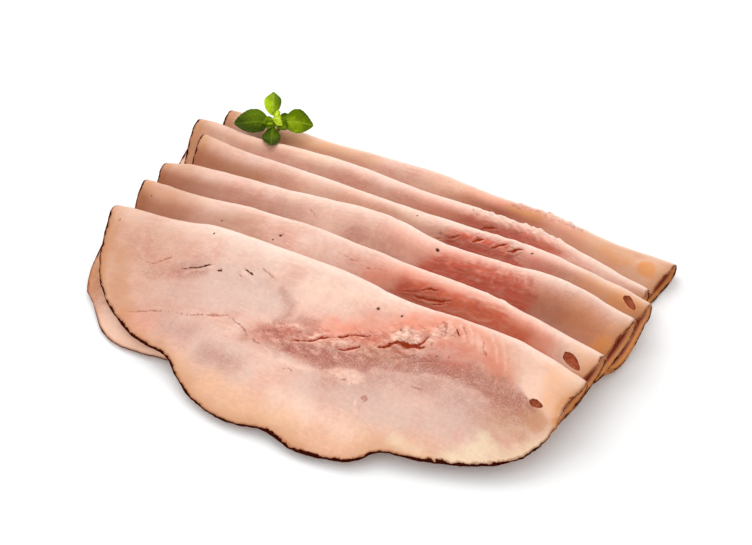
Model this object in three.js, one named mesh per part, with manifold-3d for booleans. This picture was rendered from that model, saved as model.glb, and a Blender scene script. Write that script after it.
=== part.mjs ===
// A serving of smoked ham: six slices, each folded once, lie one over the other as a fan, with the
// leafy tip of a basil shoot on the two folds at the back.
// Millimetres, +Z up. The folds run along X and the open edges point to -Y. The origin is the middle
// of the fan's outline on the surface that it lies on.
import * as THREE from 'three';
import { mergeVertices } from 'three/addons/utils/BufferGeometryUtils.js';
import Module from 'manifold-3d';

const manifoldLibrary = await Module();
manifoldLibrary.setup();

// Driving dimensions of a slice
const sliceThickness = 1.0;
const layerPitch = 2.0;             // middle of one layer to the middle of the layer on it
const halfLength = 95;              // of the ham, along the fold
const halfHeight = 66;              // of the ham, across the fold
const bendRadius = 20;              // the tightest bend that the meat takes by its own weight
const foldCloses = 18;              // how far behind the fold its two layers meet
const flareLimit = 1.1;             // of the half length, where a fold stops opening towards its end
const fanMiddle = { x: 2.14, y: -18.21 };

// Rows and columns of the facets of a slice, closest together round the fold
const acrossRows = [0, 1.75, 3.5, 5.2, 8.5, 12.5, 17, 21.5, 28, 37, 47, 57, halfHeight];
const alongColumns = [0, 0.13, 0.26, 0.39, 0.52, 0.65, 0.78, 0.88, 0.95, 1];

// The ham's outline, cut across the leg: along the fold, and across it. The upper layer of a folded
// slice is on the plus side, the layer that lies under it on the minus side.
const hamOutline = [
  [97.2, 6], [94.7, 13.5], [93.6, 20], [92.9, 25.2], [90.9, 31.3], [86.8, 37.3], [81, 43],
  [72, 48.5], [64, 51.5], [55, 54], [46, 55.3], [41.5, 57.5], [36.6, 62.3], [29.4, 64.6],
  [22, 66.2], [15, 67.1], [8.3, 66.4], [1.7, 66], [-5.4, 67.8], [-13.2, 68.1], [-22, 66.5],
  [-29.7, 63.6], [-37, 58.5], [-43.2, 53.7], [-50.6, 51.6], [-59, 48.7], [-67.8, 43.1],
  [-76.2, 37.4], [-83.4, 30.5], [-88.9, 21.2], [-91.7, 12.2], [-93.5, 4], [-93.2, -8],
  [-91.8, -19], [-90.6, -27], [-87.3, -34.2], [-82.5, -37], [-79, -40.6], [-73, -46.4],
  [-65, -50.2], [-56, -52], [-42, -52.6], [-20, -54.5], [20, -55], [50, -50], [71, -43.5],
  [86, -35], [92.5, -27], [95.3, -18], [96.8, -8],
];

// The slices from the back one, which lies lowest, to the front one. The fold line is given by its Y at
// nine places spread evenly along X. A slice has its own place and length along X, and lobes that swell
// or shrink its outline round an angle, in degrees round the middle of the fold.
const slices = [
  {
    name: 'slice_1_back', shift: 2.4, length: 0.985,
    fold: [49.3, 50.9, 50.8, 53, 54.3, 53, 53.5, 50.1, 49.9], radius: 2.7, flare: 0.5,
    lobes: [{ angle: 215, width: 20, swell: -0.05 }], eyes: [],
  },
  {
    name: 'slice_2', shift: -2.1, length: 1.005,
    fold: [36.5, 35.2, 37.6, 39, 38.2, 38.9, 39, 34.4, 29.9], radius: 3.0, flare: 0.1,
    lobes: [{ angle: -80, width: 30, swell: 0.03 }], eyes: [],
  },
  {
    name: 'slice_3', shift: 5, length: 0.98,
    fold: [25.6, 22.1, 23.2, 23.9, 23.9, 24.3, 25.9, 23, 19.9], radius: 2.9, flare: 0.3,
    lobes: [{ angle: -24, width: 12, swell: 0.03 }],
    eyes: [{ along: 90.6, across: 7.2, length: 7, width: 2.6, turn: -28 }],
  },
  {
    name: 'slice_4', shift: 2.3, length: 1,
    fold: [4.2, 5.5, 6.6, 9.5, 11.4, 8.3, 9.7, 10.1, 6.3], radius: 3.5, flare: 0.6,
    lobes: [{ angle: 70, width: 25, swell: -0.03 }], eyes: [],
  },
  {
    name: 'slice_5', shift: 0.8, length: 0.986,
    fold: [-9.4, -11.2, -9.6, -7.9, -8.1, -9, -8.7, -11.5, -13.8], radius: 3.3, flare: 0.3,
    lobes: [{ angle: 120, width: 30, swell: -0.03 }],
    eyes: [{ along: 88.2, across: 11, length: 8, width: 3.4, turn: -22 }],
  },
  {
    name: 'slice_6_front', shift: -0.3, length: 1,
    fold: [-26.4, -27.7, -24.9, -24.1, -24.3, -26.6, -25.9, -25.8, -28.8], radius: 3.3, flare: 0,
    lobes: [{ angle: -18, width: 14, swell: -0.02 }],
    eyes: [{ along: 84.6, across: 18.2, length: 5, width: 2.6, turn: 8 }],
  },
];
const eyeDepth = 2.6;               // of a cut eye in the meat, through one layer only
const eyeSides = 12;
const hamFinish = { color: '#e6b9a2', roughness: 0.5 };

// Driving dimensions of the basil tip
const leafThickness = 0.6;
const leafClearance = 0.4;          // between a leaf and the ham
const basil = { x: -68, y: 43.6, height: 12.5, lean: 10, heading: 27.6 };
const basilLeaves = [
  { turn: 180, length: 12.9, width: 9.8, from: 2, slope: 0, roll: -35, droop: 0.02, cup: -0.6 },
  { turn: -6, length: 11.2, width: 9.8, from: 5, slope: 7, roll: 30, droop: 0.04, cup: 0.6 },
  { turn: 90, length: 10.2, width: 6.8, from: 2.6, slope: 8, roll: 0, droop: 0.03, cup: 0.6 },
  { turn: -90, length: 11.8, width: 7, from: 2.6, slope: 0, roll: 0, droop: 0.04, cup: -0.5 },
  { turn: 24, length: 4.4, width: 3.2, from: 3.2, slope: 4, roll: 0, droop: 0, cup: 0.5 },
  { turn: -42, length: 4.6, width: 3.4, from: 3, slope: 2, roll: 0, droop: 0, cup: 0.5 },
];
const leafOutline = [[1, 0], [0.62, 0.62], [0.05, 1], [-0.55, 0.78], [-0.93, 0.2], [-0.93, -0.2],
  [-0.55, -0.78], [0.05, -1], [0.62, -0.62]];
const leafRows = [0, 0.5, 1];
const leafColumns = [0, 0.3, 0.65, 1];
const bud = { radius: 1.8, height: 3.6, along: 2.3, rise: 1.4, sides: 10, rings: 6 };
const stem = { radius: 0.6, length: 7.3, sides: 8 };
const stalk = { radius: 0.45, overlap: 1.4, sides: 6 };
const leafFinish = { color: '#5f8f1f', roughness: 0.45 };

// The field of heights on which the slices are laid one after another
const cell = 2;
const fieldFrom = { x: -116, y: -110 };
const fieldCells = { x: 117, y: 94 };
const tableHeight = -(layerPitch - sliceThickness) / 2;
const carryCells = 22;              // how far from its support a sheet is still held up
const settleRounds = 4;
const sheetSpread = 3;              // over which a sheet evens out what it lies on
const edgeSlack = 1.01;             // the share of its outline out to which a layer carries the next
const endSlack = 2;                 // the same past the ends of the fold, in millimetres
const farBelow = -50;

const radians = THREE.MathUtils.degToRad;
const clamp = THREE.MathUtils.clamp;

// A list that starts at zero, mirrored to the minus side.
function bothWays(list) {
  return [...list.slice(1).map((value) => -value).reverse(), ...list];
}

function field(rule) {
  const heights = new Float64Array(fieldCells.x * fieldCells.y);
  for (let column = 0; column < fieldCells.x; column++) {
    for (let row = 0; row < fieldCells.y; row++) {
      const place = column * fieldCells.y + row;
      heights[place] = rule(fieldFrom.x + cell * column, fieldFrom.y + cell * row, place);
    }
  }
  return heights;
}

// Runs a rule along one axis of the field: the rule gets a reader of the cells at a given distance.
function alongAxis(heights, axis, rule) {
  const next = new Float64Array(heights.length);
  for (let column = 0; column < fieldCells.x; column++) {
    for (let row = 0; row < fieldCells.y; row++) {
      const read = (steps) => {
        const c = clamp(column + (axis === 'x' ? steps : 0), 0, fieldCells.x - 1);
        const r = clamp(row + (axis === 'y' ? steps : 0), 0, fieldCells.y - 1);
        return heights[c * fieldCells.y + r];
      };
      next[column * fieldCells.y + row] = rule(read);
    }
  }
  return next;
}

// Each support holds the sheet up beside it, along a parabola of the sheet's tightest bend.
function carry(heights) {
  let sheet = heights;
  for (const axis of ['x', 'y']) {
    sheet = alongAxis(sheet, axis, (read) => {
      let highest = read(0);
      for (let steps = 1; steps <= carryCells; steps++) {
        const drop = (steps * cell) ** 2 / (2 * bendRadius);
        highest = Math.max(highest, read(steps) - drop, read(-steps) - drop);
      }
      return highest;
    });
  }
  return sheet;
}

function smooth(heights, spread) {
  const steps = Math.ceil(3 * spread / cell);
  const weights = [];
  for (let step = -steps; step <= steps; step++) {
    weights.push(Math.exp(-0.5 * (step * cell / spread) ** 2));
  }
  const total = weights.reduce((sum, weight) => sum + weight, 0);
  let sheet = heights;
  for (const axis of ['x', 'y']) {
    sheet = alongAxis(sheet, axis, (read) => (
      weights.reduce((sum, weight, index) => sum + weight * read(index - steps), 0) / total));
  }
  return sheet;
}

// A soft sheet laid over the pile, where the mask says that the sheet is.
function drape(pile, mask) {
  let sheet = carry(pile.map((height, place) => (mask[place] ? height : farBelow)));
  sheet = sheet.map((height) => Math.max(height, tableHeight));
  for (let round = 0; round < settleRounds; round++) {
    sheet = smooth(sheet, sheetSpread)
      .map((height, place) => Math.max(height, mask[place] ? pile[place] : tableHeight));
  }
  return smooth(sheet, sheetSpread / 2);
}

// The shares of four values in a row in the smooth curve between the middle two.
function curveWeights(t) {
  return [
    -0.5 * t + t * t - 0.5 * t ** 3, 1 - 2.5 * t * t + 1.5 * t ** 3,
    0.5 * t + 2 * t * t - 1.5 * t ** 3, -0.5 * t * t + 0.5 * t ** 3];
}

// Height at any place between the cells, by a smooth curve through the nearest four each way.
function heightAt(heights, x, y) {
  const column = clamp((x - fieldFrom.x) / cell, 1, fieldCells.x - 3);
  const row = clamp((y - fieldFrom.y) / cell, 1, fieldCells.y - 3);
  const c = Math.floor(column);
  const r = Math.floor(row);
  let sum = 0;
  curveWeights(column - c).forEach((columnWeight, i) => curveWeights(row - r).forEach((rowWeight, j) => {
    sum += columnWeight * rowWeight * heights[(c + i - 1) * fieldCells.y + r + j - 1];
  }));
  return sum;
}

// How far a closed smooth outline reaches at an angle round its middle, with lobes.
function outlineReach(points, half, lobes = []) {
  const samplesBetween = 16;
  const curve = new THREE.CatmullRomCurve3(
    points.map(([along, across]) => new THREE.Vector3(along / half[0], across / half[1], 0)),
    true, 'catmullrom', 0.5);
  const turn = curve.getPoints(points.length * samplesBetween).slice(0, -1)
    .map((point) => ({ angle: Math.atan2(point.y, point.x), reach: Math.hypot(point.x, point.y) }))
    .sort((a, b) => a.angle - b.angle);
  const samples = [-1, 0, 1].flatMap(
    (round) => turn.map(({ angle, reach }) => ({ angle: angle + round * 2 * Math.PI, reach })));
  return (angle) => {
    const next = samples.findIndex((sample) => sample.angle > angle);
    const [a, b] = [samples[next - 1], samples[next]];
    const reach = a.reach + (b.reach - a.reach) * (angle - a.angle) / (b.angle - a.angle);
    return lobes.reduce((product, lobe) => {
      const away = Math.atan2(Math.sin(angle - radians(lobe.angle)), Math.cos(angle - radians(lobe.angle)));
      return product * (1 + lobe.swell * Math.exp(-((away / radians(lobe.width)) ** 2)));
    }, reach);
  };
}

// A thin closed sheet: a square grid is rounded to the outline, put in place by a function of its flat
// coordinates, and thickened to both sides. Both faces are split into triangles alike.
function sheetSolid({ columns, rows, half, reach, place, thickness }) {
  const flat = [];
  for (const b of rows) {
    for (const a of columns) {
      const wide = Math.abs(a) >= Math.abs(b);
      const out = wide ? a : b;
      const bend = out === 0 ? 0 : (wide ? Math.PI / 4 * b / a : Math.PI / 2 - Math.PI / 4 * a / b);
      const x = out * Math.cos(bend);
      const y = out * Math.sin(bend);
      const stretch = reach(Math.atan2(y, x));
      flat.push([x * stretch * half[0], y * stretch * half[1]]);
    }
  }
  const nearby = 0.3;
  const faces = [[], []];
  for (const [u, w] of flat) {
    const alongStep = place(u + nearby, w).sub(place(u - nearby, w));
    const acrossStep = place(u, w + nearby).sub(place(u, w - nearby));
    const normal = alongStep.cross(acrossStep).normalize();
    faces[0].push(place(u, w).addScaledVector(normal, thickness / 2));
    faces[1].push(place(u, w).addScaledVector(normal, -thickness / 2));
  }
  const positions = [...faces[0], ...faces[1]].flatMap((point) => point.toArray());
  const count = flat.length;
  const wide = columns.length;
  const triangles = [];
  for (let row = 0; row < rows.length - 1; row++) {
    for (let column = 0; column < wide - 1; column++) {
      const a = row * wide + column;
      const quad = [a, a + 1, a + wide + 1, a, a + wide + 1, a + wide];
      triangles.push(...quad, ...quad.map((index) => index + count).reverse());
    }
  }
  const rim = [];
  for (let column = 0; column < wide - 1; column++) rim.push(column);
  for (let row = 0; row < rows.length - 1; row++) rim.push(row * wide + wide - 1);
  for (let column = wide - 1; column > 0; column--) rim.push((rows.length - 1) * wide + column);
  for (let row = rows.length - 1; row > 0; row--) rim.push(row * wide);
  rim.forEach((a, index) => {
    const b = rim[(index + 1) % rim.length];
    triangles.push(a, a + count, b + count, a, b + count, b);
  });
  const geometry = new THREE.BufferGeometry();
  geometry.setAttribute('position', new THREE.Float32BufferAttribute(positions, 3));
  geometry.setIndex(triangles);
  return geometry;
}

function toManifold(geometry) {
  const bare = geometry.clone();
  bare.deleteAttribute('normal');
  bare.deleteAttribute('uv');
  const merged = mergeVertices(bare, 1e-4);
  return new manifoldLibrary.Manifold(new manifoldLibrary.Mesh({
    numProp: 3,
    vertProperties: new Float32Array(merged.attributes.position.array),
    triVerts: new Uint32Array(merged.index.array),
  }));
}

function toGeometry(manifold) {
  const mesh = manifold.getMesh();
  const geometry = new THREE.BufferGeometry();
  geometry.setAttribute('position', new THREE.BufferAttribute(mesh.vertProperties, 3));
  geometry.setIndex(new THREE.BufferAttribute(mesh.triVerts, 1));
  return geometry;
}

function foldLine(slice, x) {
  const last = slice.fold.length - 1;
  const place = clamp((x / halfLength + 1) / 2 * last, 0, last);
  const from = Math.min(Math.floor(place), last - 1);
  const weights = curveWeights(place - from);
  return weights.reduce((sum, weight, i) => sum + weight * slice.fold[clamp(from + i - 1, 0, last)], 0);
}

// The round of the fold stands a little more open towards its right end.
function foldRound(slice, x) {
  return slice.radius + slice.flare * clamp(x / halfLength, 0, flareLimit) ** 3;
}

// Marks the cells of the plan that one layer of a slice covers: side 1 is the upper layer.
function footprint(slice, side) {
  return field((x, y) => {
    const round = foldRound(slice, x);
    const behind = foldLine(slice, x) - round - y;
    if (behind < -round) return 0;
    const across = behind >= 0 ? behind + Math.PI * round / 2
      : round * (Math.PI / 2 - Math.asin(Math.min(-behind / round, 1)));
    const u = (x - slice.shift) / (halfLength * slice.length);
    const w = side * across / halfHeight;
    return Math.hypot(u, w) <= edgeSlack * slice.reach(Math.atan2(w, u)) ? 1 : 0;
  });
}

// Lays both layers of a slice on the pile and returns the new pile.
function lay(slice, pile) {
  const under = footprint(slice, -1);
  slice.lower = drape(pile, under).map((height) => height + layerPitch / 2);
  const half = pile.map((height, place) => (
    under[place] ? Math.max(height, slice.lower[place] + layerPitch / 2) : height));
  const over = footprint(slice, 1);
  const sheet = drape(half, over);
  slice.upper = field((x, y, place) => {
    const round = foldRound(slice, x);
    const behind = clamp(foldLine(slice, x) - round - y, 0, foldCloses);
    const open = 0.5 * (1 + Math.cos(Math.PI * behind / foldCloses));
    return sheet[place] + layerPitch / 2 + (2 * round - layerPitch) * open;
  });
  return field((x, y, place) => {
    const round = foldRound(slice, x);
    const behind = foldLine(slice, x) - round - y;
    if (!over[place] && (behind >= 0 || behind < -round)) return half[place];
    if (Math.abs(x - slice.shift) > halfLength + endSlack) return half[place];
    const low = slice.lower[place];
    const high = slice.upper[place];
    const share = Math.sqrt(1 - clamp(-behind / round, 0, 1) ** 2);
    const level = (low + high) / 2 + (high - low) / 2 * share;
    return Math.max(half[place], level + layerPitch / 2);
  });
}

// The place of a flat point of the slice once it is folded and laid.
function folded(slice, along, across) {
  const x = slice.shift + along * slice.length;
  const round = foldRound(slice, x);
  const side = across < 0 ? -1 : 1;
  const distance = Math.abs(across);
  const bend = Math.min(distance / round, Math.PI / 2);
  const behind = Math.max(distance - Math.PI * round / 2, 0);
  const y = foldLine(slice, x) - round + round * Math.cos(bend) - behind;
  const low = heightAt(slice.lower, x, y);
  const high = heightAt(slice.upper, x, y);
  const z = (low + high) / 2 + side * (high - low) / 2 * Math.sin(bend);
  return new THREE.Vector3(x, y, z);
}

// An oval hole through the upper layer, where a pocket of fat has dropped out.
function eyeCutter(slice, eye) {
  const middle = folded(slice, eye.along, eye.across);
  const alongStep = folded(slice, eye.along + 1, eye.across).sub(middle);
  const acrossStep = folded(slice, eye.along, eye.across + 1).sub(middle);
  const normal = alongStep.clone().cross(acrossStep).normalize();
  const cutter = new THREE.CylinderGeometry(0.5, 0.5, eyeDepth, eyeSides);
  cutter.scale(eye.length, 1, eye.width);
  cutter.rotateY(radians(eye.turn));
  cutter.applyQuaternion(new THREE.Quaternion().setFromUnitVectors(new THREE.Vector3(0, 1, 0), normal));
  cutter.translate(...middle.toArray());
  return cutter;
}

function sliceGeometry(slice) {
  const geometry = sheetSolid({
    columns: bothWays(alongColumns), rows: bothWays(acrossRows.map((distance) => distance / halfHeight)),
    half: [halfLength, halfHeight], reach: slice.reach,
    place: (along, across) => folded(slice, along, across), thickness: sliceThickness,
  });
  if (slice.eyes.length === 0) return geometry;
  const cut = slice.eyes.reduce(
    (solid, eye) => solid.subtract(toManifold(eyeCutter(slice, eye))), toManifold(geometry));
  return toGeometry(cut);
}

// The basil tip faces the front: its middle stands over the ham and its leaves lean onto it.
const basilFrame = new THREE.Matrix4()
  .makeTranslation(basil.x, basil.y, basil.height)
  .multiply(new THREE.Matrix4().makeRotationZ(radians(basil.heading)))
  .multiply(new THREE.Matrix4().makeRotationX(radians(basil.lean)));

// The place of a flat point of a leaf, which never dips into the ham.
function leafPoint(leaf, pile, u, w) {
  const direction = radians(leaf.turn);
  const out = leaf.from + leaf.length / 2 + u;
  const across = w / (leaf.width / 2);
  const rise = out * Math.tan(radians(leaf.slope)) - leaf.droop * (out - leaf.from) ** 2 / 2
    + leaf.cup * across ** 2 + w * Math.sin(radians(leaf.roll));
  const aside = w * Math.cos(radians(leaf.roll));
  const point = new THREE.Vector3(
    out * Math.cos(direction) - aside * Math.sin(direction),
    out * Math.sin(direction) + aside * Math.cos(direction), rise).applyMatrix4(basilFrame);
  const floor = heightAt(pile, point.x, point.y) - (layerPitch - sliceThickness) / 2;
  point.z = Math.max(point.z, floor + leafClearance + leafThickness);
  return point;
}

// The short stalk between the shoot and the foot of a leaf.
function stalkGeometry(leaf, pile) {
  const start = new THREE.Vector3(bud.along, 0, bud.rise / 2).applyMatrix4(basilFrame);
  const end = leafPoint(leaf, pile, stalk.overlap - leaf.length / 2, 0);
  const along = end.clone().sub(start);
  const body = new THREE.CylinderGeometry(stalk.radius, stalk.radius, along.length(), stalk.sides);
  body.applyQuaternion(
    new THREE.Quaternion().setFromUnitVectors(new THREE.Vector3(0, 1, 0), along.clone().normalize()));
  body.translate(...start.add(end).divideScalar(2).toArray());
  return body;
}

function leafGeometry(leaf, pile) {
  const half = [leaf.length / 2, leaf.width / 2];
  const outline = leafOutline.map(([along, across]) => [along * half[0], across * half[1]]);
  return sheetSolid({
    columns: bothWays(leafColumns), rows: bothWays(leafRows), half, reach: outlineReach(outline, half),
    place: (u, w) => leafPoint(leaf, pile, u, w), thickness: leafThickness,
  });
}

function basilGeometry(pile) {
  const budBody = new THREE.SphereGeometry(1, bud.sides, bud.rings);
  budBody.scale(bud.radius, bud.radius, bud.height / 2);
  budBody.translate(bud.along, 0, bud.rise);
  budBody.applyMatrix4(basilFrame);
  const shoot = new THREE.CylinderGeometry(stem.radius, stem.radius, stem.length, stem.sides);
  shoot.rotateX(Math.PI / 2);
  shoot.translate(bud.along, 0, bud.rise - stem.length / 2);
  shoot.applyMatrix4(basilFrame);
  const pieces = [budBody, shoot];
  for (const leaf of basilLeaves) pieces.push(leafGeometry(leaf, pile), stalkGeometry(leaf, pile));
  return toGeometry(pieces.map(toManifold).reduce((solid, piece) => solid.add(piece)));
}

function material(finish) {
  return new THREE.MeshStandardMaterial({ ...finish, metalness: 0 });
}

const fan = new THREE.Group();
let pile = field(() => tableHeight);
for (const slice of slices) {
  slice.reach = outlineReach(hamOutline, [halfLength, halfHeight], slice.lobes);
  pile = lay(slice, pile);
  const mesh = new THREE.Mesh(sliceGeometry(slice), material(hamFinish));
  mesh.name = slice.name;
  fan.add(mesh);
}
const basilTip = new THREE.Mesh(basilGeometry(carry(pile)), material(leafFinish));
basilTip.name = 'basil_tip';
fan.add(basilTip);
fan.position.set(-fanMiddle.x, -fanMiddle.y, 0);

export default fan;
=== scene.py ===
# Smoked ham: six thin folded slices that overlap as a fan, with the leafy tip of a basil shoot.
# Shapes are worked out in millimetres, and turned to metres in the frame of the solids at the end.
import math
import bpy
import numpy as np
from mathutils import Matrix, Vector


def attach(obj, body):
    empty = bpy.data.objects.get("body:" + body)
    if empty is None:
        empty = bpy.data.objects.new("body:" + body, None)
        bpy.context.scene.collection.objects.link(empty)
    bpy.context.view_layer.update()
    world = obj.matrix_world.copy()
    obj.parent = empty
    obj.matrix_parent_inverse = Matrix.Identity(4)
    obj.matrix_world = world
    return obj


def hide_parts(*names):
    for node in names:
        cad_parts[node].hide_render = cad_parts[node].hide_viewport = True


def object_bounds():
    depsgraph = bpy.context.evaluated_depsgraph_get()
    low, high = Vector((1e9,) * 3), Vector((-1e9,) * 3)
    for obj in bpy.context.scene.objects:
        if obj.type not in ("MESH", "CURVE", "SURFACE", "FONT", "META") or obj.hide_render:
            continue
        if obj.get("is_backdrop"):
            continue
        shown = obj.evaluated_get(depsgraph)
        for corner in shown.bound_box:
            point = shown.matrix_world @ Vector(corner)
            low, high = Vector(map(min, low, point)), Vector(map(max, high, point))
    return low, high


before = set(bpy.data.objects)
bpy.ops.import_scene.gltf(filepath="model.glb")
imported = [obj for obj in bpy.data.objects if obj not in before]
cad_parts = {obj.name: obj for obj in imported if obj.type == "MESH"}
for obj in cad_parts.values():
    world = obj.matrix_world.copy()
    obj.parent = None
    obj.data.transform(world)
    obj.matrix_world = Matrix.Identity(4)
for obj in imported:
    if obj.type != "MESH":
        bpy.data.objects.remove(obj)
cadBox = [list(corner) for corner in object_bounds()]
print("frame loaded", cadBox)

# The fan of slices as it is laid
fan = {
    "thickness": 1.05, "pitch": 2.0, "halfLength": 95, "halfHeight": 66,   # millimetres
    "middle": (2.14, -18.21),              # of the fan's outline, which becomes the origin
    "bendRadius": 20, "foldCloses": 18, "flareLimit": 1.1,
    "cell": 2, "fieldFrom": (-116, -110), "fieldCells": (117, 94),
    "table": -0.5, "farBelow": -50, "carryCells": 22, "settleRounds": 4, "sheetSpread": 3,
    "edgeSlack": 1.01, "endSlack": 2,
    # the ham's cut across the leg: along the fold and across it, the upper layer on the plus side
    "outline": [
        (97.2, 6), (94.7, 13.5), (93.6, 20), (92.9, 25.2), (90.9, 31.3), (86.8, 37.3), (81, 43),
        (72, 48.5), (64, 51.5), (55, 54), (46, 55.3), (41.5, 57.5), (36.6, 62.3), (29.4, 64.6),
        (22, 66.2), (15, 67.1), (8.3, 66.4), (1.7, 66), (-5.4, 67.8), (-13.2, 68.1), (-22, 66.5),
        (-29.7, 63.6), (-37, 58.5), (-43.2, 53.7), (-50.6, 51.6), (-59, 48.7), (-67.8, 43.1),
        (-76.2, 37.4), (-83.4, 30.5), (-88.9, 21.2), (-91.7, 12.2), (-93.5, 4), (-93.2, -8),
        (-91.8, -19), (-90.6, -27), (-87.3, -34.2), (-82.5, -37), (-79, -40.6), (-73, -46.4),
        (-65, -50.2), (-56, -52), (-42, -52.6), (-20, -54.5), (20, -55), (50, -50), (71, -43.5),
        (86, -35), (92.5, -27), (95.3, -18), (96.8, -8)],
}


def ramp(value, start, end):
    # 0 before the start, 1 past the end and straight between them
    return np.clip((value - start) / (end - start), 0, 1)


def fade(value, middle, width):
    # a soft step from 1 down to 0, or up to 1 where the width is negative
    return 1 / (1 + np.exp((value - middle) / width))


def bell(value):
    return np.exp(-value ** 2)


def latticeNoise(x, y, size, seed):
    # soft random waves of -1 to 1, about one to each size x size patch
    table = np.random.default_rng(seed).uniform(-1, 1, (64, 64))
    gridX, gridY = np.asarray(x) / size + 31.7, np.asarray(y) / size + 17.3
    left, low = np.floor(gridX).astype(int), np.floor(gridY).astype(int)
    shareX, shareY = gridX - left, gridY - low
    shareX = shareX ** 3 * (shareX * (shareX * 6 - 15) + 10)
    shareY = shareY ** 3 * (shareY * (shareY * 6 - 15) + 10)
    corner = lambda i, j: table[(left + i) % 64, (low + j) % 64]
    return ((corner(0, 0) * (1 - shareX) + corner(1, 0) * shareX) * (1 - shareY)
            + (corner(0, 1) * (1 - shareX) + corner(1, 1) * shareX) * shareY)


def layeredNoise(x, y, size, seed, octaves=3):
    return sum(latticeNoise(x, y, size / 2 ** i, seed + i) / 2 ** i for i in range(octaves)) / 1.6


def curveShares(t):
    # how much each of four points counts on a smooth curve, t of the way from the second to the third
    return (-0.5 * t + t * t - 0.5 * t ** 3, 1 - 2.5 * t * t + 1.5 * t ** 3,
            0.5 * t + 2 * t * t - 1.5 * t ** 3, -0.5 * t * t + 0.5 * t ** 3)


def outlineReach(points, half, lobes=()):
    # how far a closed smooth outline reaches at an angle round its middle
    points = np.array(points, float) / half
    steps = np.arange(16) / 16
    around = []
    for i in range(len(points)):
        four = points[[i - 1, i, (i + 1) % len(points), (i + 2) % len(points)]]
        around.append(sum(share[:, None] * point for share, point in zip(curveShares(steps), four)))
    around = np.concatenate(around)
    angles = np.arctan2(around[:, 1], around[:, 0])
    order = np.argsort(angles)
    radii = np.hypot(around[:, 0], around[:, 1])

    def reach(angle):
        result = np.interp(angle, angles[order], radii[order], period=2 * math.pi)
        for lobe in lobes:
            away = angle - math.radians(lobe["angle"])
            away = np.arctan2(np.sin(away), np.cos(away)) / math.radians(lobe["width"])
            result = result * (1 + lobe["swell"] * bell(away))
        return result
    return reach


fieldX, fieldY = np.meshgrid(
    fan["fieldFrom"][0] + fan["cell"] * np.arange(fan["fieldCells"][0]),
    fan["fieldFrom"][1] + fan["cell"] * np.arange(fan["fieldCells"][1]), indexing="ij")


def shifted(heights, axis, steps):
    places = np.clip(np.arange(heights.shape[axis]) + steps, 0, heights.shape[axis] - 1)
    return np.take(heights, places, axis)


def carry(heights):
    # each support holds the sheet up beside it, along a parabola of its tightest bend
    for axis in (0, 1):
        read = heights
        for steps in range(1, fan["carryCells"] + 1):
            drop = (steps * fan["cell"]) ** 2 / (2 * fan["bendRadius"])
            heights = np.maximum(heights, shifted(read, axis, steps) - drop)
            heights = np.maximum(heights, shifted(read, axis, -steps) - drop)
    return heights


def smooth(heights, spread):
    # a blur whose spread is in millimetres
    reach = math.ceil(3 * spread / fan["cell"])
    steps = range(-reach, reach + 1)
    weights = [math.exp(-0.5 * (step * fan["cell"] / spread) ** 2) for step in steps]
    for axis in (0, 1):
        heights = sum(w * shifted(heights, axis, s) for w, s in zip(weights, steps)) / sum(weights)
    return heights


def drape(pile, mask):
    # a soft sheet laid over the pile, where the mask says that the sheet is
    sheet = np.maximum(carry(np.where(mask, pile, fan["farBelow"])), fan["table"])
    for _ in range(fan["settleRounds"]):
        sheet = np.maximum(smooth(sheet, fan["sheetSpread"]), np.where(mask, pile, fan["table"]))
    return smooth(sheet, fan["sheetSpread"] / 2)


def heightAt(heights, x, y):
    # the field's smooth height at any place
    column = np.clip((x - fan["fieldFrom"][0]) / fan["cell"], 1, fan["fieldCells"][0] - 3)
    row = np.clip((y - fan["fieldFrom"][1]) / fan["cell"], 1, fan["fieldCells"][1] - 3)
    c, r = np.floor(column).astype(int), np.floor(row).astype(int)
    total = 0
    for i, columnShare in enumerate(curveShares(column - c)):
        for j, rowShare in enumerate(curveShares(row - r)):
            total = total + columnShare * rowShare * heights[c + i - 1, r + j - 1]
    return total


def foldLine(ham, x):
    # where the fold's ridge runs: its points lie evenly along the slice
    fold = np.array(ham["fold"], float)
    last = len(fold) - 1
    place = np.clip((x / fan["halfLength"] + 1) / 2 * last, 0, last)
    start = np.minimum(np.floor(place), last - 1).astype(int)
    return sum(share * fold[np.clip(start + i - 1, 0, last)]
               for i, share in enumerate(curveShares(place - start)))


def foldRound(ham, x):
    # the fold's radius, which may open towards the right end
    return ham["radius"] + ham["flare"] * np.clip(x / fan["halfLength"], 0, fan["flareLimit"]) ** 3


def footprint(ham, side):
    # the cells of the plan that one layer covers: side 1 is the upper layer
    bend = foldRound(ham, fieldX)
    behind = foldLine(ham, fieldX) - bend - fieldY
    inside = bend * (math.pi / 2 - np.arcsin(np.clip(-behind / bend, -1, 1)))
    across = np.where(behind >= 0, behind + math.pi * bend / 2, inside)
    u = (fieldX - ham["shift"]) / (fan["halfLength"] * ham["length"])
    w = side * across / fan["halfHeight"]
    return (behind >= -bend) & (np.hypot(u, w) <= fan["edgeSlack"] * ham["reach"](np.arctan2(w, u)))


def lay(ham, pile):
    # lays both layers of a slice on the pile and returns the new pile
    halfPitch = fan["pitch"] / 2
    under = footprint(ham, -1)
    ham["lower"] = drape(pile, under) + halfPitch
    half = np.where(under, np.maximum(pile, ham["lower"] + halfPitch), pile)
    over = footprint(ham, 1)
    bend = foldRound(ham, fieldX)
    behind = foldLine(ham, fieldX) - bend - fieldY
    gap = 0.5 * (1 + np.cos(math.pi * np.clip(behind, 0, fan["foldCloses"]) / fan["foldCloses"]))
    ham["upper"] = drape(half, over) + halfPitch + (2 * bend - fan["pitch"]) * gap
    share = np.sqrt(1 - np.clip(-behind / bend, 0, 1) ** 2)
    level = (ham["lower"] + ham["upper"]) / 2 + (ham["upper"] - ham["lower"]) / 2 * share + halfPitch
    covered = over | ((behind < 0) & (behind >= -bend))
    covered &= np.abs(fieldX - ham["shift"]) <= fan["halfLength"] + fan["endSlack"]
    return np.where(covered, np.maximum(half, level), half)


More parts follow.
